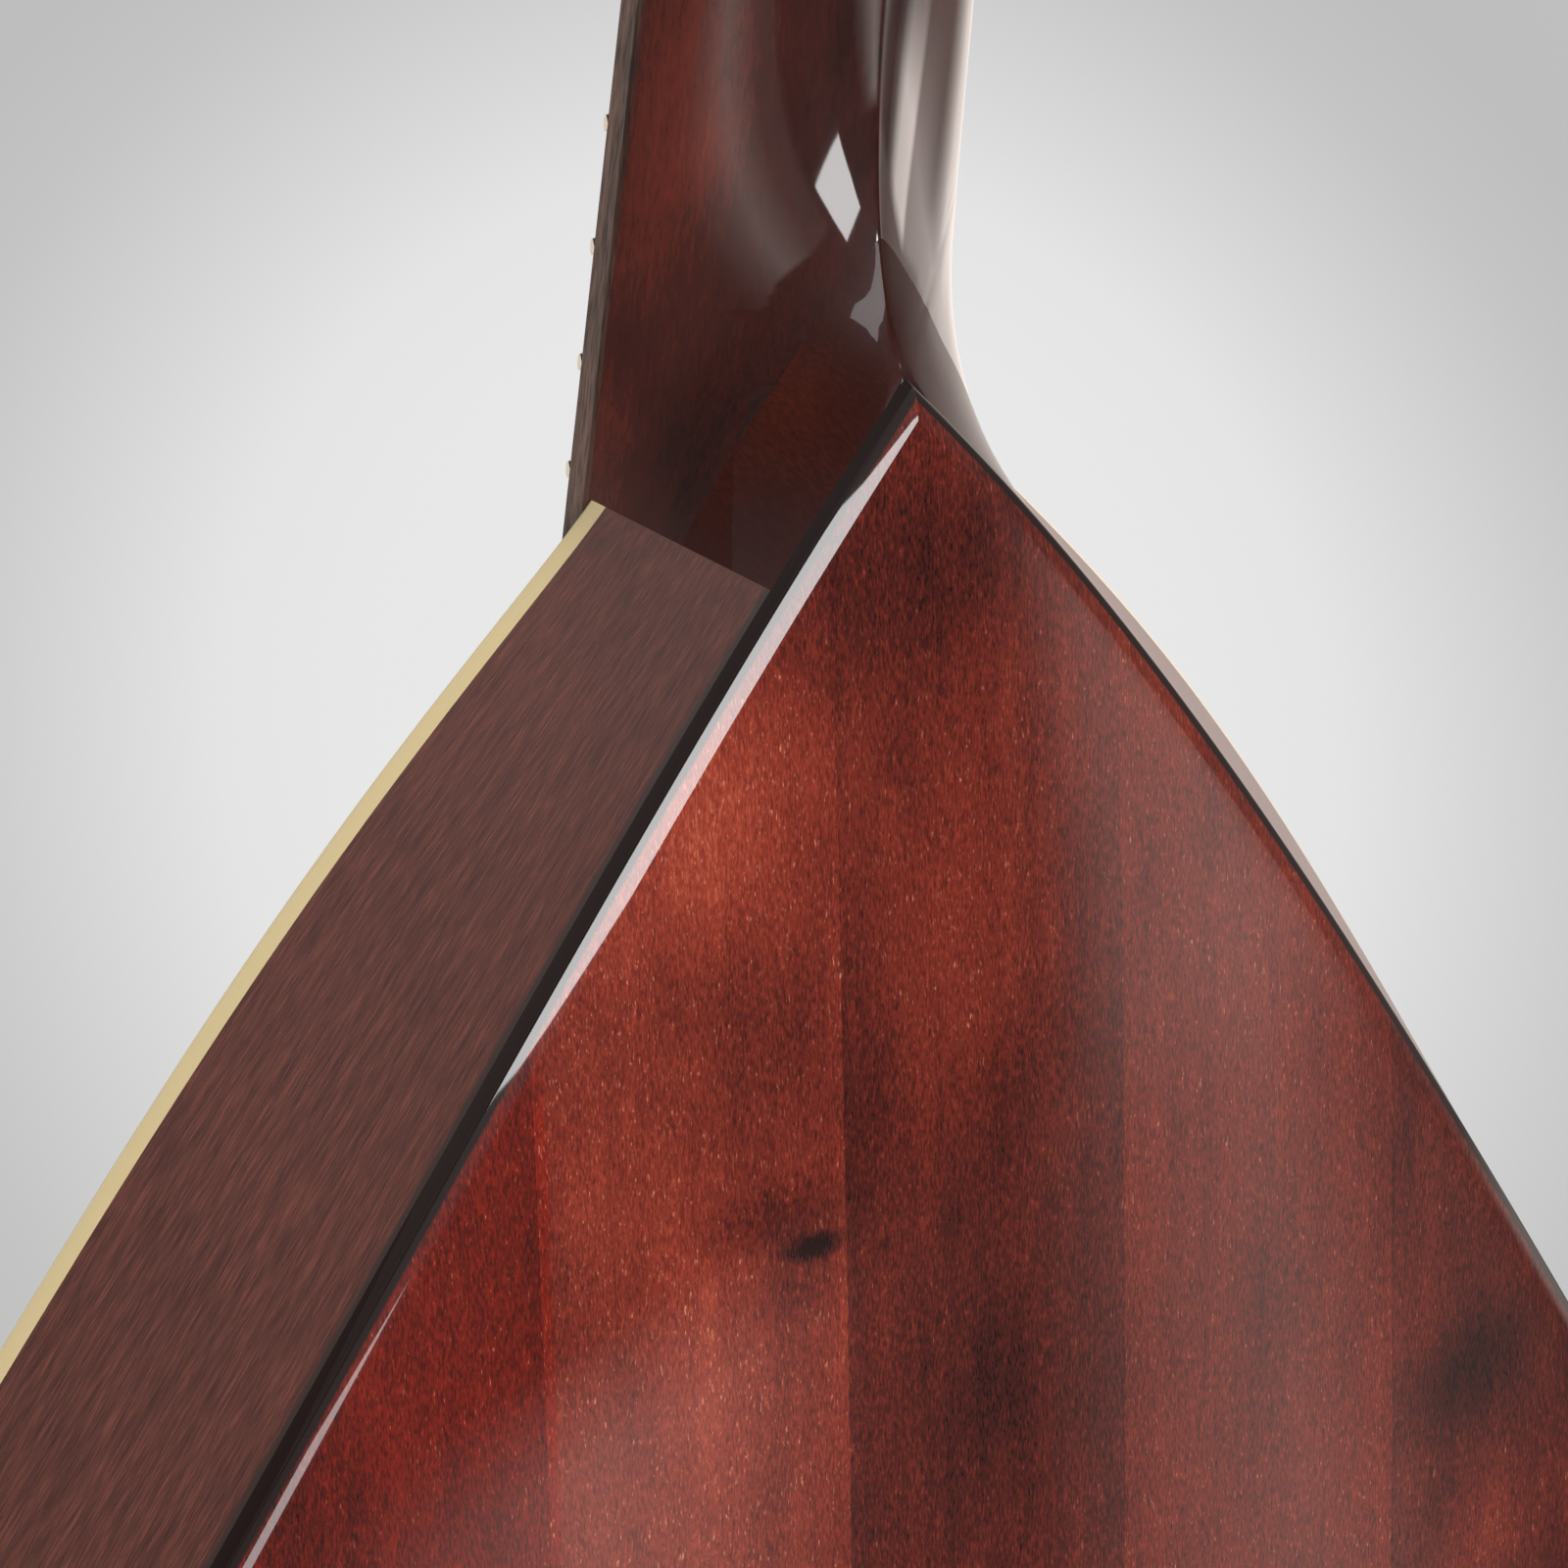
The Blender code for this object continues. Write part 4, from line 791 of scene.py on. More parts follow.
def neckHalf(up):
    return body["jointHalf"] + (body["nutHalf"] - body["jointHalf"]) * up / body["joint"]


def ridgeDepth(up):
    shaft = neck["depthHeel"] + (neck["depthNut"] - neck["depthHeel"]) * up / body["joint"]
    end = rimDepth(-body["backPoint"]) - body["back"]
    share = min(max((body["backPoint"] + neck["scoop"] - up) / neck["scoop"], 0), 1)
    return shaft + (end - shaft) * (1 - (1 - share ** 2.5) ** 0.62)


def neckRows():
    below, bend, shaft = neck["rows"]
    point, scoop = body["backPoint"], neck["scoop"]
    rows = [point * k / below for k in range(below)]
    rows += [point + scoop * (k / bend) ** 1.2 for k in range(bend + 1)]
    start, end = point + scoop, body["joint"] + neck["headPivot"]
    return rows + [start + (end - start) * k / shaft for k in range(1, shaft + 1)]


def rawSection(k, up):
    # one point between the fingerboard's edge (0) and the ridge (ringSide)
    steps, half = neck["ringSide"], neckHalf(up)
    if up >= body["backPoint"]:
        share = min((up - body["backPoint"]) / neck["scoop"], 1)
        power = neck["heelPower"] + (neck["shaftPower"] - neck["heelPower"]) * share ** 0.8
        angle = pi / 2 * k / steps
        x = 0.0 if k == steps else half * cos(angle) ** (2 / power)
        return Vector((x, ridgeDepth(up) * sin(angle) ** (2 / power), up))
    lean, farUp = body["seamLean"] * (1 - up / body["backPoint"]), up
    for _ in range(6):
        farDepth = rimDepth(-farUp) - body["back"]
        farUp = up + lean * farDepth
    farHalf = backHalf(-farUp)
    if k > steps - 2:
        return Vector((farHalf * (steps - k) / 2, farDepth, farUp))
    share = sin(pi / 2 * k / (steps - 2)) ** 2
    return Vector((half + (farHalf - half) * share, farDepth * share, up + lean * farDepth * share))


def neckSection(c, up):
    # averaged along the neck, so that the flanks turn softly into the heel and only the ridge stays crisp
    steps = neck["ringSide"]
    way = 1 if c <= steps else -1
    k = c if c <= steps else 2 * steps - c
    reach = min(neck["soften"] * (1 - k / steps) ** 0.4, up)
    spot, total = Vector(), 0.0
    for n in range(-4, 5):
        weight = 1 - 0.85 * (n / 4) ** 2
        spot += rawSection(k, up + reach * n / 4) * weight
        total += weight
    spot /= total
    return Vector((way * spot.x, spot.y, spot.z - body["joint"]))


head = dict(length=124, half=26, thick=14, tilt=12, flare=0.6, throat=5, shoulder=22, waist=1.5, corner=16,
            crown=1, postX=18, postFirst=28, postPitch=24, postHole=3.8, drillOver=8, bevel=1.6)
headFrame = Matrix.Translation((0, 0, neck["headPivot"])) @ Matrix.Rotation(radians(-head["tilt"]), 4, "X")


def headPoint(x, rise, along):
    return headFrame @ Vector((x, -rise, along))


def overHead(p, rise):
    return headPoint(p[0], rise, p[1])


def outOfHead(centre):
    # a frame whose third axis stands out of the headstock's face
    return Matrix.Translation(centre) @ Matrix.Rotation(radians(90 - head["tilt"]), 4, "X")


def tunerPlaces():
    for label, node, side in sides:
        for k in range(4):
            yield node + "_" + str(k + 1), side, head["postFirst"] + head["postPitch"] * k


def headOutline(fine=10):
    foot = body["nutHalf"] + head["flare"]
    side = [(foot, 0.0)]
    for k in range(fine + 1):
        share = k / fine
        side.append((foot + (head["half"] - foot) * (0.1 + 0.9 * sin(pi / 2 * share)),
                     head["throat"] + (head["shoulder"] - head["throat"]) * share))
    middle = (head["shoulder"] + head["length"] - head["corner"]) / 2
    reach = (head["length"] - head["corner"] - head["shoulder"]) / 2
    for k in range(1, 2 * fine):
        share = k / fine - 1
        side.append((head["half"] - head["waist"] * (1 - share * share), middle + reach * share))
    for k in range(fine):
        angle = pi / 2 * k / fine
        side.append((head["half"] * cos(angle) ** 0.7,
                     head["length"] - head["corner"] * (1 - sin(angle))))
    side.append((0.0, head["length"] + head["crown"]))
    return side + [(-x, y) for x, y in reversed(side[:-1])]


def makeNeck():
    rows = neckRows()
    columns = 2 * neck["ringSide"] + 1
    bm = skin(columns, len(rows) - 1, lambda c, j: neckSection(c, rows[j]), wrap=True)
    other = bm.copy()
    tilt = atan(neck["splitSlope"])
    spot = Vector((0, neck["splitDepth"], -body["joint"])) * mm
    flat = Vector((0, cos(tilt), -sin(tilt)))
    for part, clear in ((bm, "clear_outer"), (other, "clear_inner")):
        geometry = part.verts[:] + part.edges[:] + part.faces[:]
        bmesh.ops.bisect_plane(part, geom=geometry, dist=0.000001, plane_co=spot, plane_no=flat,
                               **{clear: True})
        closeHoles(part)
    finishPiece("heelBlock", other, "heel", ["heel"], sharp=50)
    shaft = finishPiece("neckShaft", bm, "neck", ["neck"], sharp=50)
    block = prism(headOutline(), overHead, 0, -head["thick"], head["bevel"])
    bmesh.ops.recalc_face_normals(block, faces=block.faces)
    cutWith(shaft, block, "UNION")
    drill = bmesh.new()
    for name, side, along in tunerPlaces():
        centre = headPoint(side * head["postX"], -head["thick"] / 2, along)
        rod(drill, outOfHead(centre), head["postHole"], head["thick"] + head["drillOver"], 32)
    cutWith(shaft, drill)


makeNeck()
print("neck and heel are made")


# Fingerboard, frets and nut
board = dict(thick=4.2, lastFret=17, overhang=6, fretWide=1.8, fretHigh=1.0, fretSlant=1.2, fretFoot=0.6,
             bevel=0.6, dots=(5, 7, 12, 15), dot=3.0, nutLow=0.3, nutHigh=4.2, nutTop=5.3, nutEase=0.4,
             slotDeep=0.5, slotRoom=0.05)


def fretAt(number):
    return body["scaleLength"] * (1 - 2 ** (-number / 12))


def makeFingerboard():
    end = fretAt(board["lastFret"]) + board["overhang"]
    near, far, steps = -neck["gap"], -board["thick"], 12
    outline = [(-neckHalf(body["joint"]), 0), (neckHalf(body["joint"]), 0),
               (neckHalf(body["joint"] - end), end), (-neckHalf(body["joint"] - end), end)]
    bm = prism(outline, lambda p, depth: (p[0], depth, -p[1]), near, far, board["bevel"])
    finishPiece("fingerboard", bm, "rosewood", ["fingerboard"], sharp=40)
    for number in range(1, board["lastFret"] + 1):
        along = fretAt(number)
        half = neckHalf(body["joint"] - along) - 0.1
        wide, high = board["fretWide"] / 2, board["fretHigh"]

        def crownSection(c, j, half=half, along=along):
            # round top, ends filed down at a slant
            x = half * (2 * j / steps - 1)
            ease = min((half - abs(x)) / board["fretSlant"], 1.0)
            if c == 9:
                return x, far + board["fretFoot"], -along
            angle = pi * c / 8
            return x, far - high * sin(angle) * (0.35 + 0.65 * ease ** 0.5), -along + wide * cos(angle)
        bm = skin(10, steps, crownSection, wrap=True)
        finishPiece("fret%d" % number, bm, "brass")
    for number in board["dots"]:
        for x in ((-7, 7) if number == 12 else (0,)):
            bm = bmesh.new()
            middle = (fretAt(number) + fretAt(number - 1)) / 2
            turn = Matrix.Translation((x, far - 0.02, -middle)) @ Matrix.Rotation(pi / 2, 4, "X")
            rod(bm, turn, board["dot"], 0.1, 40, board["dot"] - 0.05)
            finishPiece("dot%d%s" % (number, "ab"[x > 0]), bm, "bone")
    makeNut()


def stringX(course, way, spacing, pair):
    return (course - 1.5) * spacing + way * pair / 2


def eachString():
    for course, letter in enumerate("gdae"):
        for number, way in enumerate((-1, 1), 1):
            yield course, way, letter + str(number)


def makeNut():
    low, high, top = board["nutLow"], board["nutHigh"] - board["nutEase"], -board["nutTop"]
    half = neckHalf(body["joint"])
    outline = [(-half, low), (half, low), (half, high), (-half, high)]
    bm = prism(outline, lambda p, depth: (p[0], depth, p[1]), -neck["gap"], top, board["nutEase"])
    piece = finishPiece("nut", bm, "bone", ["nut"], sharp=40)
    slots = bmesh.new()
    for course, way, name in eachString():
        x = stringX(course, way, strings["courseNut"], strings["pairNut"])
        turn = Matrix.Translation((x, top - 0.9 + board["slotDeep"], 2.2))
        rod(slots, turn, strings["gauges"][course] / 2 + board["slotRoom"], 8, 16)
    cutWith(piece, slots)


# Soundboard, rosette and pickguard
face = dict(gap=0.3, hole=112, holeWide=33, holeHigh=23, margin=3, ring=5, ringThick=0.9, groove=1.2,
            lip=0.5, around=240, edgeSteps=14, guardHalf=22, guardLong=26, guardThick=1.0, guardGap=2,
            bands=((0, "rosewood"), (0.8, "bone"), (1.4, "rosewood"), (3.6, "bone"), (4.2, "rosewood")))


def rayToOutline(points, angle, centre):
    # distance from the hole's centre to the outline in one direction
    way = Vector((cos(angle), sin(angle)))
    best = None
    for a, b in zip(points, points[1:] + points[:1]):
        edge = b - a
        bottom = way.x * edge.y - way.y * edge.x
        if abs(bottom) < 1e-9:
            continue
        off = a - centre
        t = (off.x * edge.y - off.y * edge.x) / bottom
        u = (off.x * way.y - off.y * way.x) / bottom
        if t > 0 and -1e-6 <= u <= 1 + 1e-6:
            best = t if best is None else max(best, t)
    return best


def boardLoop():
    inset = body["bindingWide"] + face["gap"]
    treble = [insetPoint(frontLine, i, inset) for i in range(stations)]
    treble[-1].x = 0
    return treble + [Vector((-p.x, p.y)) for p in reversed(treble[:-1])]


def makeSoundboard():
    loop = boardLoop()
    centre = Vector((0, face["hole"]))
    corner = [atan2(p.y - centre.y, p.x - centre.x) for p in (loop[0], loop[-1])]
    around = face["around"]
    angles = sorted([2 * pi * k / around - pi for k in range(around)] + corner)
    profile = []
    inner, outer = face["margin"] - face["gap"], face["margin"] + face["ring"] + face["gap"]
    for grow, depth in ((0, body["top"]), (0, face["lip"]), (face["lip"] * 0.3, face["lip"] * 0.3),
                        (face["lip"], 0), (inner, 0), (inner, face["groove"]), (outer, face["groove"]),
                        (outer, 0)):
        profile.append((grow, 0.0, depth))
    steps = face["edgeSteps"]
    profile += [(outer, k / steps, 0.0) for k in range(1, steps + 1)]
    profile += [(outer, 1.0, body["top"])] + [(outer, 1 - k / 6, body["top"]) for k in range(1, 6)]

    def section(c, j):
        grow, share, depth = profile[c]
        angle = angles[j]
        a, b = face["holeWide"] + grow, face["holeHigh"] + grow
        reach = 1 / sqrt((cos(angle) / a) ** 2 + (sin(angle) / b) ** 2)
        if share:
            reach += (rayToOutline(loop, angle, centre) - reach) * share
        return place(reach * cos(angle), depth, centre.y + reach * sin(angle))
    bm = skin(len(profile), len(angles), section, wrap=True, closed=True)
    finishPiece("soundboard", bm, "spruce", ["soundboard"], sharp=30)

    bands = face["bands"] + ((face["ring"], None),)
    for k, (start, finish) in enumerate(bands[:-1]):
        stop = bands[k + 1][0]

        def ring(c, j, start=start, stop=stop):
            angle = 2 * pi * j / 160
            grow = face["margin"] + (start, start, stop, stop)[c]
            depth = (face["ringThick"], 0.0, 0.0, face["ringThick"])[c]
            a, b = face["holeWide"] + grow, face["holeHigh"] + grow
            return place(a * cos(angle), depth, centre.y + b * sin(angle))
        bm = skin(4, 160, ring, wrap=True, closed=True)
        finishPiece("rosette%d" % (k + 1), bm, finish, ["rosette"] if k == 0 else ())


def makePickguard():
    top = face["hole"] + face["holeHigh"] + face["margin"] + face["ring"] + face["guardGap"]
    half, long, near = face["guardHalf"], face["guardLong"], -face["gap"]
    outline = [(-half, top), (half, top)]
    outline += [(half * cos(a), top + long * sin(a)) for a in turns(0, 180, 48)[1:-1]]
    bm = prism(outline, lambda p, depth: place(p[0], depth, p[1]), near, near - face["guardThick"], 0.35)
    finishPiece("pickguard", bm, "tortoise", ["pickguard"], sharp=40)


# Strings
strings = dict(widest=0.41, gauges=(0.95, 0.66, 0.38, 0.30), atNut=6.2, atBridge=8.9, courseNut=6.4,
               courseBridge=10.4, courseTail=7.4, pairNut=2.0, pairBridge=2.8, pairTail=3.2, turns=2.5,
               turnGap=0.5, turnSteps=32, post=3.0, postRoom=0.3, postRise=9.0, wrapDown=1.5, sides=12)


def tangentAngle(centre, radius, start, way):
    base = atan2(start.y - centre.y, start.x - centre.x)
    spread = acos(radius / (start - centre).length)
    for angle in (base + spread, base - spread):
        spot = centre + radius * Vector((cos(angle), sin(angle)))
        if (spot - start).dot(way * Vector((-sin(angle), cos(angle)))) > 0:
            return angle
    return base


def stringRoute(course, way):
    gauge = strings["gauges"][course]
    side = -1 if course < 2 else 1
    rank = (0 if course in (0, 3) else 2) + (0 if way * side > 0 else 1)
    tailX = stringX(course, way, strings["courseTail"], strings["pairTail"])
    hook = tail - fixing["hookBack"]
    depth = -fixing["gap"] - fixing["plate"] - fixing["hookHigh"] / 2
    nutX = stringX(course, way, strings["courseNut"], strings["pairNut"])
    nutSpot = Vector((nutX, -strings["atNut"], 2.4))
    bridgeX = stringX(course, way, strings["courseBridge"], strings["pairBridge"])
    points = [place(tailX, depth, hook - fixing["gap"]),
              place(tailX, depth, hook - fixing["gap"] - 3 * gauge),
              place(bridgeX, -strings["atBridge"], bridge["below"]), nutSpot]
    centre = Vector((side * head["postX"], head["postFirst"] + head["postPitch"] * rank))
    radius = strings["post"] + strings["postRoom"] + gauge / 2
    local = headFrame.inverted() @ nutSpot
    angle = tangentAngle(centre, radius, Vector((local.x, local.z)), -side)
    steps = strings["turnSteps"]
    for k in range(int(strings["turns"] * steps) + 1):
        theta = angle - side * 2 * pi * k / steps
        rise = strings["postRise"] - strings["wrapDown"] - gauge - (gauge + strings["turnGap"]) * k / steps
        spot = centre + radius * Vector((cos(theta), sin(theta)))
        points.append(headPoint(spot.x, rise, spot.y))
    return points, gauge


def tube(points, radius, sides):
    # frames carried along the route, so that the tube doesn't twist
    frames = []
    up = Vector((1, 0, 0))
    length = 0.0
    for i, spot in enumerate(points):
        before, after = points[max(i - 1, 0)], points[min(i + 1, len(points) - 1)]
        along = (after - before).normalized()
        up = (up - along * up.dot(along)).normalized()
        if i:
            length += (spot - points[i - 1]).length
        frames.append((spot, up, along.cross(up), length))

    def ring(c, j):
        spot, first, second, _ = frames[j]
        angle = 2 * pi * c / sides
        return spot + radius * (cos(angle) * first + sin(angle) * second)
    bm = skin(sides, len(points) - 1, ring, wrap=True)
    uv = bm.loops.layers.uv.active
    rows = len(points) - 1
    for part in bm.faces:
        for loop in part.loops:
            j = round(loop[uv].uv.x * rows)
            loop[uv].uv = (frames[j][3], loop[uv].uv.y)
    return bm


def makeStrings():
    for course, way, name in eachString():
        points, gauge = stringRoute(course, way)
        wound = course < 2
        bm = tube(points, min(gauge / 2, strings["widest"]), strings["sides"])
        finishPiece("string" + name.upper(), bm, "wound" if wound else "wire", ["string_" + name],
                    sharp=60)


# Tuners
# postProfile holds how far below the post's top and inside its radius its corners lie
tuner = dict(teeth=14, gear=4.6, root=3.6, gearThick=3.6, toothSteps=8, toothEase=0.35, worm=2.2,
             wormLong=7, threads=2.5, threadSteps=20, threadDeep=0.15, shaft=1.3, shaftEase=0.25,
             collar=2.1, collarEase=0.3, plate=1.0, plateWide=13, plateEdge=4, plateCorner=2.5, bore=3.3,
             lug=1.2, gap=0.3, tailOut=0.8, screw=1.5, screwAside=3.6, button=31, buttonLong=11,
             buttonHalf=7, buttonThick=3, buttonSteps=30, stringHole=0.8,
             holeDown=3.1, screwsAlong=7.6, screwsEnd=(2.6, 2.4),
             postProfile=((5.2, 0), (4.6, 0.25), (1.6, 0.25), (1.0, 0), (0.5, 0), (0.15, 0.2), (0, 0.6)),
             ferrule=((3.35, -2.0), (3.35, 0.4), (3.7, 0.7), (4.5, 0.6), (5.0, 0.1), (3.75, 0.05)))
tuner["level"] = -(head["thick"] + 2 * tuner["gap"] + tuner["plate"] + tuner["gearThick"] / 2 + 0.4)
tuner["offset"] = tuner["gear"] + tuner["worm"] + tuner["gap"]


def about(frame, share, radius, along):
    # a point at a share of one turn about the frame's third axis
    return frame @ Vector((radius * cos(2 * pi * share), radius * sin(2 * pi * share), along))


def turned(profile, frame, sides):
    # a profile of (distance along, radius) turned about the frame's third axis
    def ring(c, j):
        along, radius = profile[j]
        return about(frame, c / sides, radius, along)
    return skin(sides, len(profile) - 1, ring, wrap=True)


def softProfile(profile, ease):
    # rounds each outer corner of a turned profile with a short cut
    points = []
    for i, (along, radius) in enumerate(profile):
        if i in (0, len(profile) - 1):
            inner = profile[1 if i == 0 else -2]
            step = Vector((inner[0] - along, inner[1] - radius))
            cut = step.normalized() * min(ease, step.length / 3)
            pair = [(along, radius - ease), (along + cut.x, radius + cut.y)]
            points += pair if i == 0 else pair[::-1]
            continue
        here = Vector((along, radius))
        for other in (Vector(profile[i - 1]), Vector(profile[i + 1])):
            step = other - here
            points.append(tuple(here + step.normalized() * min(ease, step.length / 3)))
    return points


def waveOf(share, level, wide):
    # 0 in the gaps and 1 on the crests of a cut wave
    return min(max((cos(2 * pi * share) + level) / wide, 0), 1)


def makePost(name, side, along):
    frame = outOfHead(headPoint(side * head["postX"], 0, along))
    r, top = strings["post"], strings["postRise"]
    level, half = tuner["level"], tuner["gearThick"] / 2
    profile = [(level + half + 0.02, r)] + [(top - down, r - slim) for down, slim in tuner["postProfile"]]
    post = finishPiece("post_" + name, turned(profile, frame, 40), "nickel", ["post_" + name],
                       sharp=40, body="peg_" + name)
    drill = bmesh.new()
    cross = Matrix.Translation((0, 0, top - tuner["holeDown"])) @ Matrix.Rotation(pi / 2, 4, "Y")
    rod(drill, frame @ cross, tuner["stringHole"], 12, 20)
    cutWith(post, drill)
    steps, ease = tuner["toothSteps"], tuner["toothEase"]

    def gear(c, j):
        tooth, part = divmod(c, steps)
        share = part / steps
        radius = tuner["root"] + (tuner["gear"] - tuner["root"]) * waveOf(share - 0.5, 0.35, 0.7)
        cut = ease if j in (0, 3) else 0.0
        height = level + (-half, -half + ease, half - ease, half)[j]
        return about(frame, (tooth + share) / tuner["teeth"], radius - cut, height)
    bm = skin(tuner["teeth"] * steps, 3, gear, wrap=True)
    finishPiece("gear_" + name, bm, "brass", sharp=30, body="peg_" + name)


def wormFrame(side, along):
    centre = headPoint(side * head["postX"], tuner["level"], along - tuner["offset"])
    return Matrix.Translation(centre) @ Matrix.Rotation(radians(90 * side), 4, "Y")


def makeKey(name, side, along):
    frame, rider = wormFrame(side, along), "key_" + name
    half, r = tuner["wormLong"] / 2, tuner["shaft"]
    reach = tuner["button"] - tuner["gap"] - head["postX"]
    tailEnd = half + tuner["lug"] + 2 * tuner["gap"] + tuner["tailOut"]
    threads, steps = tuner["threads"], tuner["threadSteps"]
    rows, root = int(threads * steps) * 2, r + tuner["threadDeep"]

    def thread(c, j):
        # one start of thread: the radius rises and falls along each turn's pitch
        at = -half + 2 * half * j / rows
        phase = (at / (2 * half) * threads - c / steps) % 1.0
        edge = min((half - abs(at)) / 0.4, 1)
        radius = root + (tuner["worm"] - root) * waveOf(phase, 0.3, 0.6) * edge
        return about(frame, c / steps, radius, at)
    bm = skin(steps, rows, thread, wrap=True)
    finishPiece("worm_" + name, bm, "steel", ["worm_" + name], sharp=60, body=rider)
    for part, low, high in (("tail", -tailEnd, -half), ("shaft", half, reach + 0.3)):
        bm = turned(softProfile([(low, r), (high, r)], tuner["shaftEase"]), frame, 24)
        finishPiece(part + "_" + name, bm, "steel", sharp=40, body=rider)

    start, rows = tuner["button"] - head["postX"], tuner["buttonSteps"]

    def knob(c, j):
        # a flat oval button: narrow neck, wide middle, rounded end
        t = j / rows
        wide = 0.35 + 0.65 * sin(pi * min(max((t - 0.02) / 1.06, 0), 1)) ** 0.85
        if t > 0.94:
            wide *= sqrt(max(1 - ((t - 0.94) / 0.06) ** 2, 0)) * 0.75 + 0.25
        angle = 2 * pi * c / 48
        cx, cy = cos(angle), sin(angle)
        x = tuner["buttonHalf"] * wide * copysign(abs(cx) ** 0.8, cx)
        y = tuner["buttonThick"] * (0.6 + 0.4 * wide) * min(wide * 2.2, 1) * copysign(abs(cy) ** 0.9, cy)
        return frame @ Vector((x, y, start + tuner["buttonLong"] * t))
    bm = skin(48, rows, knob, wrap=True)
    finishPiece("button_" + name, bm, "button", ["button_" + name], sharp=50, body=rider)
    ends = [(start - 1.1, tuner["collar"]), (start + 0.6, tuner["collar"])]
    bm = turned(softProfile(ends, tuner["collarEase"]), frame, 28)
    finishPiece("collar_" + name, bm, "nickel", sharp=40, body=rider)


def makePlates():
    rise = -head["thick"] - tuner["gap"]
    low = head["postFirst"] - tuner["offset"] - tuner["worm"] - tuner["plateEdge"]
    high = head["postFirst"] + 3 * head["postPitch"] + tuner["gear"] + tuner["plateEdge"]
    wide, corner = tuner["plateWide"] / 2, tuner["plateCorner"]
    for label, node, side in sides:
        outline = []
        for cx, end, start in ((wide, high, 0), (-wide, high, 90), (-wide, low, 180), (wide, low, 270)):
            x = side * head["postX"] + cx - copysign(corner, cx)
            along = end - copysign(corner, 135 - start)
            outline += [(x + corner * cos(a), along + corner * sin(a)) for a in turns(start, start + 90, 8)]
        bm = prism(outline, overHead, rise, rise - tuner["plate"], 0.2)
        plate = finishPiece("tunerPlate" + label, bm, "nickel", ["tuner_plate_" + node], sharp=30)
        bores = bmesh.new()
        posts = [head["postFirst"] + head["postPitch"] * k for k in range(4)]
        for k, along in enumerate(posts, 1):
            for way in (-1, 1):
                makeLug("lug%s%d%s" % (label, k, "ab"[way > 0]), side, along, way, rise)
            rod(bores, outOfHead(headPoint(side * head["postX"], rise, along)), tuner["bore"], 8, 32)
        cutWith(plate, bores)
        first, last = tuner["screwsEnd"]
        for k, along in enumerate([low + first] + [along + tuner["screwsAlong"] for along in posts], 1):
            x = side * (head["postX"] + tuner["screwAside"] * (-1 if k % 2 else 1))
            centre = headPoint(x, rise - tuner["plate"], min(along, high - last))
            inward = Matrix.Rotation(radians(-90 - head["tilt"]), 4, "X")
            makeScrew("plateScrew%s%d" % (label, k), Matrix.Translation(centre) @ inward, tuner["screw"])


def makeLug(name, side, along, way, rise):
    x = side * head["postX"] + way * (tuner["wormLong"] / 2 + tuner["gap"] + tuner["lug"] / 2)
    half, centre, level = tuner["worm"], along - tuner["offset"], tuner["level"]
    foot = rise - tuner["plate"] / 2
    outline = [(centre - half, foot), (centre + half, foot)]
    outline += [(centre + half * cos(a), level - half * sin(a)) for a in turns(0, 180, 12)]
    reach = tuner["lug"] / 2
    bm = prism(outline, lambda p, at: headPoint(at, p[1], p[0]), x - reach, x + reach, 0.15)
    finishPiece(name, bm, "nickel", sharp=30)


screw = dict(profile=((-0.4, 1), (0.12, 1), (0.3, 0.94), (0.5, 0.75), (0.62, 0.4)), top=(0.66, 0.02),
             slotLong=2.4, slotWide=0.4, slotDeep=0.7, slotRise=0.6)


def makeScrew(name, frame, radius):
    # a domed, slotted head whose third axis points out of the plate
    profile = [(rise, radius * share) for rise, share in screw["profile"]] + [screw["top"]]
    piece = finishPiece(name, turned(profile, frame, 28), "nickel", sharp=40)
    slot = bmesh.new()
    bmesh.ops.create_cube(slot, size=1.0)
    bmesh.ops.scale(slot, vec=(radius * screw["slotLong"], screw["slotWide"], screw["slotDeep"]),
                    verts=slot.verts)
    lift = Matrix.Translation((0, 0, screw["slotRise"]))
    bmesh.ops.transform(slot, matrix=Matrix.Scale(mm, 4) @ frame @ lift, verts=slot.verts)
    cutWith(piece, slot)


def makeTuners():
    makePlates()
    for name, side, along in tunerPlaces():
        makePost(name, side, along)
        makeKey(name, side, along)
        frame = outOfHead(headPoint(side * head["postX"], 0, along))
        bm = skin(40, 6, lambda c, j, frame=frame: about(frame, c / 40, *tuner["ferrule"][j]), wrap=True,
                  closed=True)
        finishPiece("ferrule_" + name, bm, "nickel", sharp=40)


# Bridge, tailpiece, cover and end button
bridge = dict(below=body["scaleLength"] - body["joint"], half=43, wide=10, high=5.6, tip=1.6, stepHigh=3.2,
              step=8, seat=2, saddle=24, saddleWide=2.6, ease=3, easeHigh=0.6, gap=0.3, bevel=0.5)
fixing = dict(gap=0.3, plate=1.0, half=17, reach=34, drop=16, hookHigh=2.4, hookWide=1.8, hookBack=12,
              cover=0.8, coverHigh=7, coverLong=30, corner=3, buttonR=7, buttonLong=12, buttonFoot=4.6,
              buttonWaist=3.4, buttonHead=4, buttonRoom=3, screws=((-11, 5), (11, 5), (0, 9)), screw=1.9,
              bend=2.0)


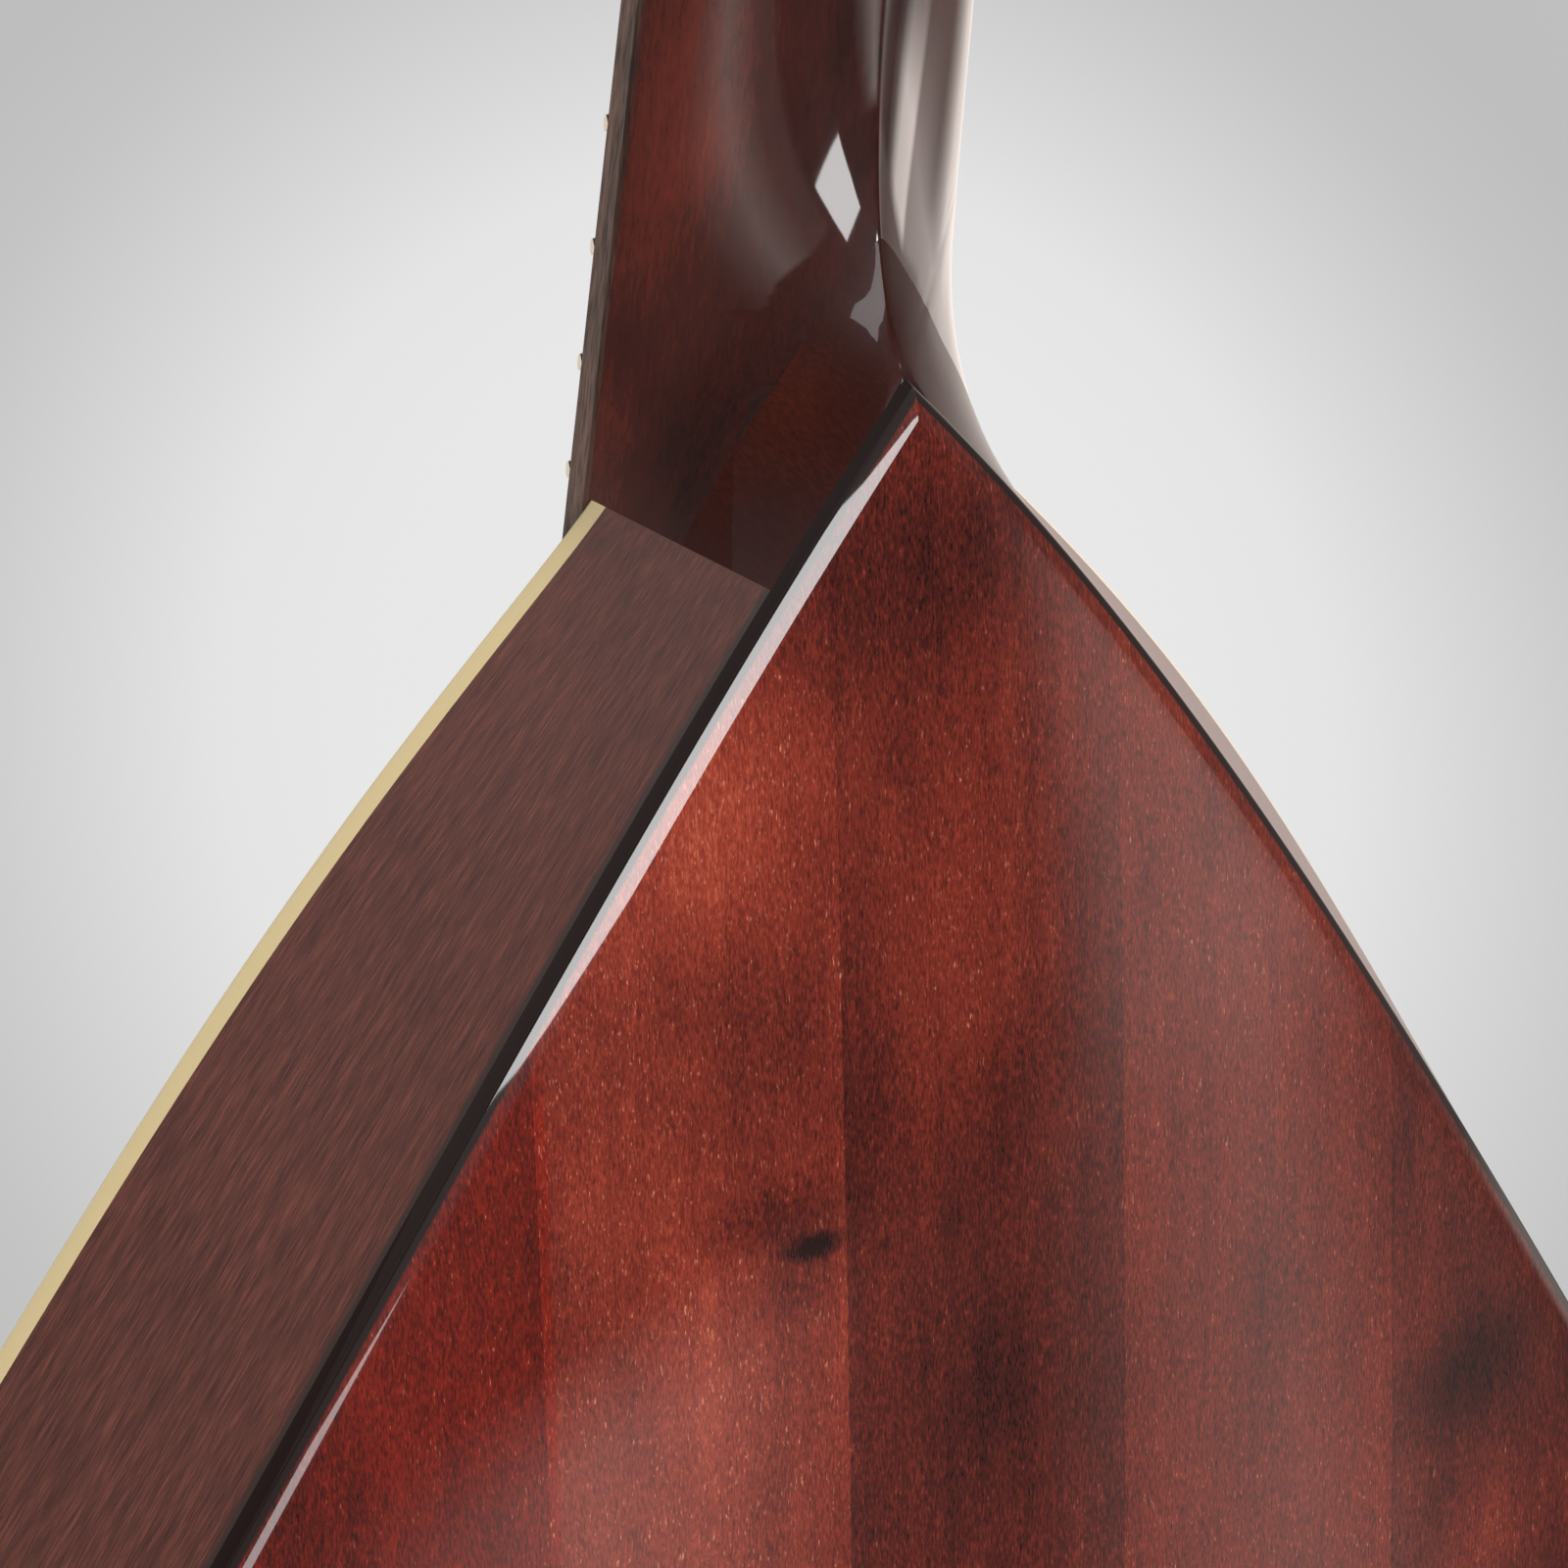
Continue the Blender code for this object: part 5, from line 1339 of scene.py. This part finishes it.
def makeBridge():
    g, tip, middle = bridge["gap"], bridge["half"], bridge["saddle"] + bridge["seat"]
    low, high, first = -g - bridge["tip"], -bridge["high"], -g - bridge["stepHigh"]
    stepX, steps = middle + bridge["step"], 10
    curve = []
    for k in range(steps + 1):
        # from the tip up to the raised middle in one sweep
        x = tip + (middle - tip) * k / steps
        if x > stepX:
            depth = low + (first - low) * (tip - x) / (tip - stepX)
        else:
            depth = first + (high - first) * (stepX - x) / bridge["step"]
        curve.append((x, depth))
    outline = [(-tip, -g), (tip, -g), (tip, low)] + curve[1:]
    outline += [(-x, depth) for x, depth in reversed(curve)]
    half = bridge["wide"] / 2
    bm = prism(outline, across, bridge["below"] - half, bridge["below"] + half, bridge["bevel"])
    finishPiece("bridgeBase", bm, "bridge", ["bridge_base"], sharp=40)
    reach, half = bridge["saddle"], bridge["saddleWide"] / 2
    top = -(strings["atBridge"] - strings["gauges"][0] / 2 - g)
    inner, ease = reach - bridge["ease"], top + bridge["easeHigh"]
    outline = [(-reach, -bridge["high"] - g), (reach, -bridge["high"] - g), (reach, ease), (inner, top),
               (-inner, top), (-reach, ease)]
    bm = prism(outline, across, bridge["below"] - half, bridge["below"] + half, bridge["bevel"])
    finishPiece("bridgeSaddle", bm, "bone", ["bridge_saddle"], sharp=40)


def makeTailpiece():
    end, t, g, half = tail + fixing["gap"], fixing["plate"], fixing["gap"], fixing["half"]
    bend = fixing["bend"]
    profile = [(end - fixing["reach"], -g)]
    profile += [(end - (bend - t) * (1 - sin(a)), -g + (bend - t) * (1 - cos(a))) for a in turns(0, 90, 8)]
    profile += [(end, fixing["drop"]), (end + t, fixing["drop"])]
    profile += [(end + t - bend * (1 - sin(a)), -g - t + bend * (1 - cos(a))) for a in turns(90, 0, 8)]
    profile += [(end - fixing["reach"], -g - t)]
    bm = prism(profile, alongside, -half, half, 0.25, 2)
    finishPiece("tailpiece", bm, "nickel", ["tailpiece"], sharp=30)
    back, half = tail - fixing["hookBack"], fixing["hookWide"] / 2
    front = back + fixing["hookWide"]
    root, top = -g - t / 2, -g - t - fixing["hookHigh"]
    outline = [(back, root), (back, top + 0.9), (back + 0.3, top + 0.25), (back + 0.9, top), (front, top),
               (front, top + 0.7), (back + 1.2, top + 1.1), (back + 1.0, root)]
    for course, way, name in eachString():
        x = stringX(course, way, strings["courseTail"], strings["pairTail"])
        bm = prism(outline, alongside, x - half, x + half, 0.15, 2)
        finishPiece("hook" + name.upper(), bm, "nickel", sharp=40)
    for letter, (x, depth) in zip("ABC", fixing["screws"]):
        frame = Matrix.Translation(place(x, depth, end + t)) @ Matrix.Rotation(pi, 4, "X")
        makeScrew("tailScrew" + letter, frame, fixing["screw"])


def makeCover():
    half, t, cut = fixing["half"] + fixing["cover"] + fixing["gap"], fixing["cover"], fixing["corner"]
    top = -fixing["gap"] - fixing["plate"] - fixing["coverHigh"]
    foot = -fixing["gap"] - fixing["plate"] / 2
    start = tail - fixing["coverLong"]

    def shell(wide, radius):
        # a foot and a rounded shoulder, then the same on the other side
        line = [(wide, foot)]
        line += [(wide - radius * (1 - cos(a)), top + (cut - radius) + radius * (1 - sin(a)))
                 for a in turns(0, 90, 8)]
        return line + [(-x, depth) for x, depth in reversed(line)]
    outline = shell(half, cut) + shell(half - t, cut - t)[::-1]
    bm = prism(outline, across, start, start + fixing["coverLong"], 0.2, 2)
    finishPiece("tailpieceCover", bm, "nickel", ["tailpiece_cover"], sharp=35, body="cover")


def makeEndButton():
    depth = fixing["drop"] + fixing["buttonR"] + fixing["buttonRoom"]
    centre = place(0, depth, tail - body["lean"] * depth / body["rim"] + 2 * fixing["gap"])
    frame = Matrix.Translation(centre) @ Matrix.Rotation(pi, 4, "X")
    foot, waist, ease = fixing["buttonFoot"], fixing["buttonWaist"], 0.4
    start, half = fixing["buttonLong"] - fixing["buttonHead"], fixing["buttonHead"] / 2
    profile = [(0.0, foot - ease), (ease, foot)]
    for k in range(1, 12):
        profile.append((ease + (start - ease) * k / 12, foot - (foot - waist) * sin(pi * k / 12)))
    profile += [(start + half - half * cos(a), foot + (fixing["buttonR"] - foot) * max(sin(a), 0) ** 0.7)
                for a in turns(0, 180, 12)]
    profile += [(fixing["buttonLong"], 2.0), (fixing["buttonLong"] - 0.2, 0.3)]
    finishPiece("endButton", turned(profile, frame, 56), "rosewood", ["end_button"], sharp=40)


def dressInside():
    # blocks, linings and braces keep their solids and get bare wood
    for node in insideNodes:
        solid = frame["nodes"][node]
        solid.data.materials.clear()
        solid.data.materials.append(finishes["bare"])


insideNodes = ("neck_block", "tail_block", "top_lining", "back_lining", "top_brace_1", "top_brace_2",
               "top_brace_3", "back_brace_1", "back_brace_2")
makeSoundboard()
makePickguard()
makeFingerboard()
print("soundboard and fingerboard are made")
makeTuners()
print("tuners are made")
makeBridge()
makeTailpiece()
makeCover()
makeEndButton()
makeStrings()
dressInside()
print("bridge, tailpiece and strings are made")
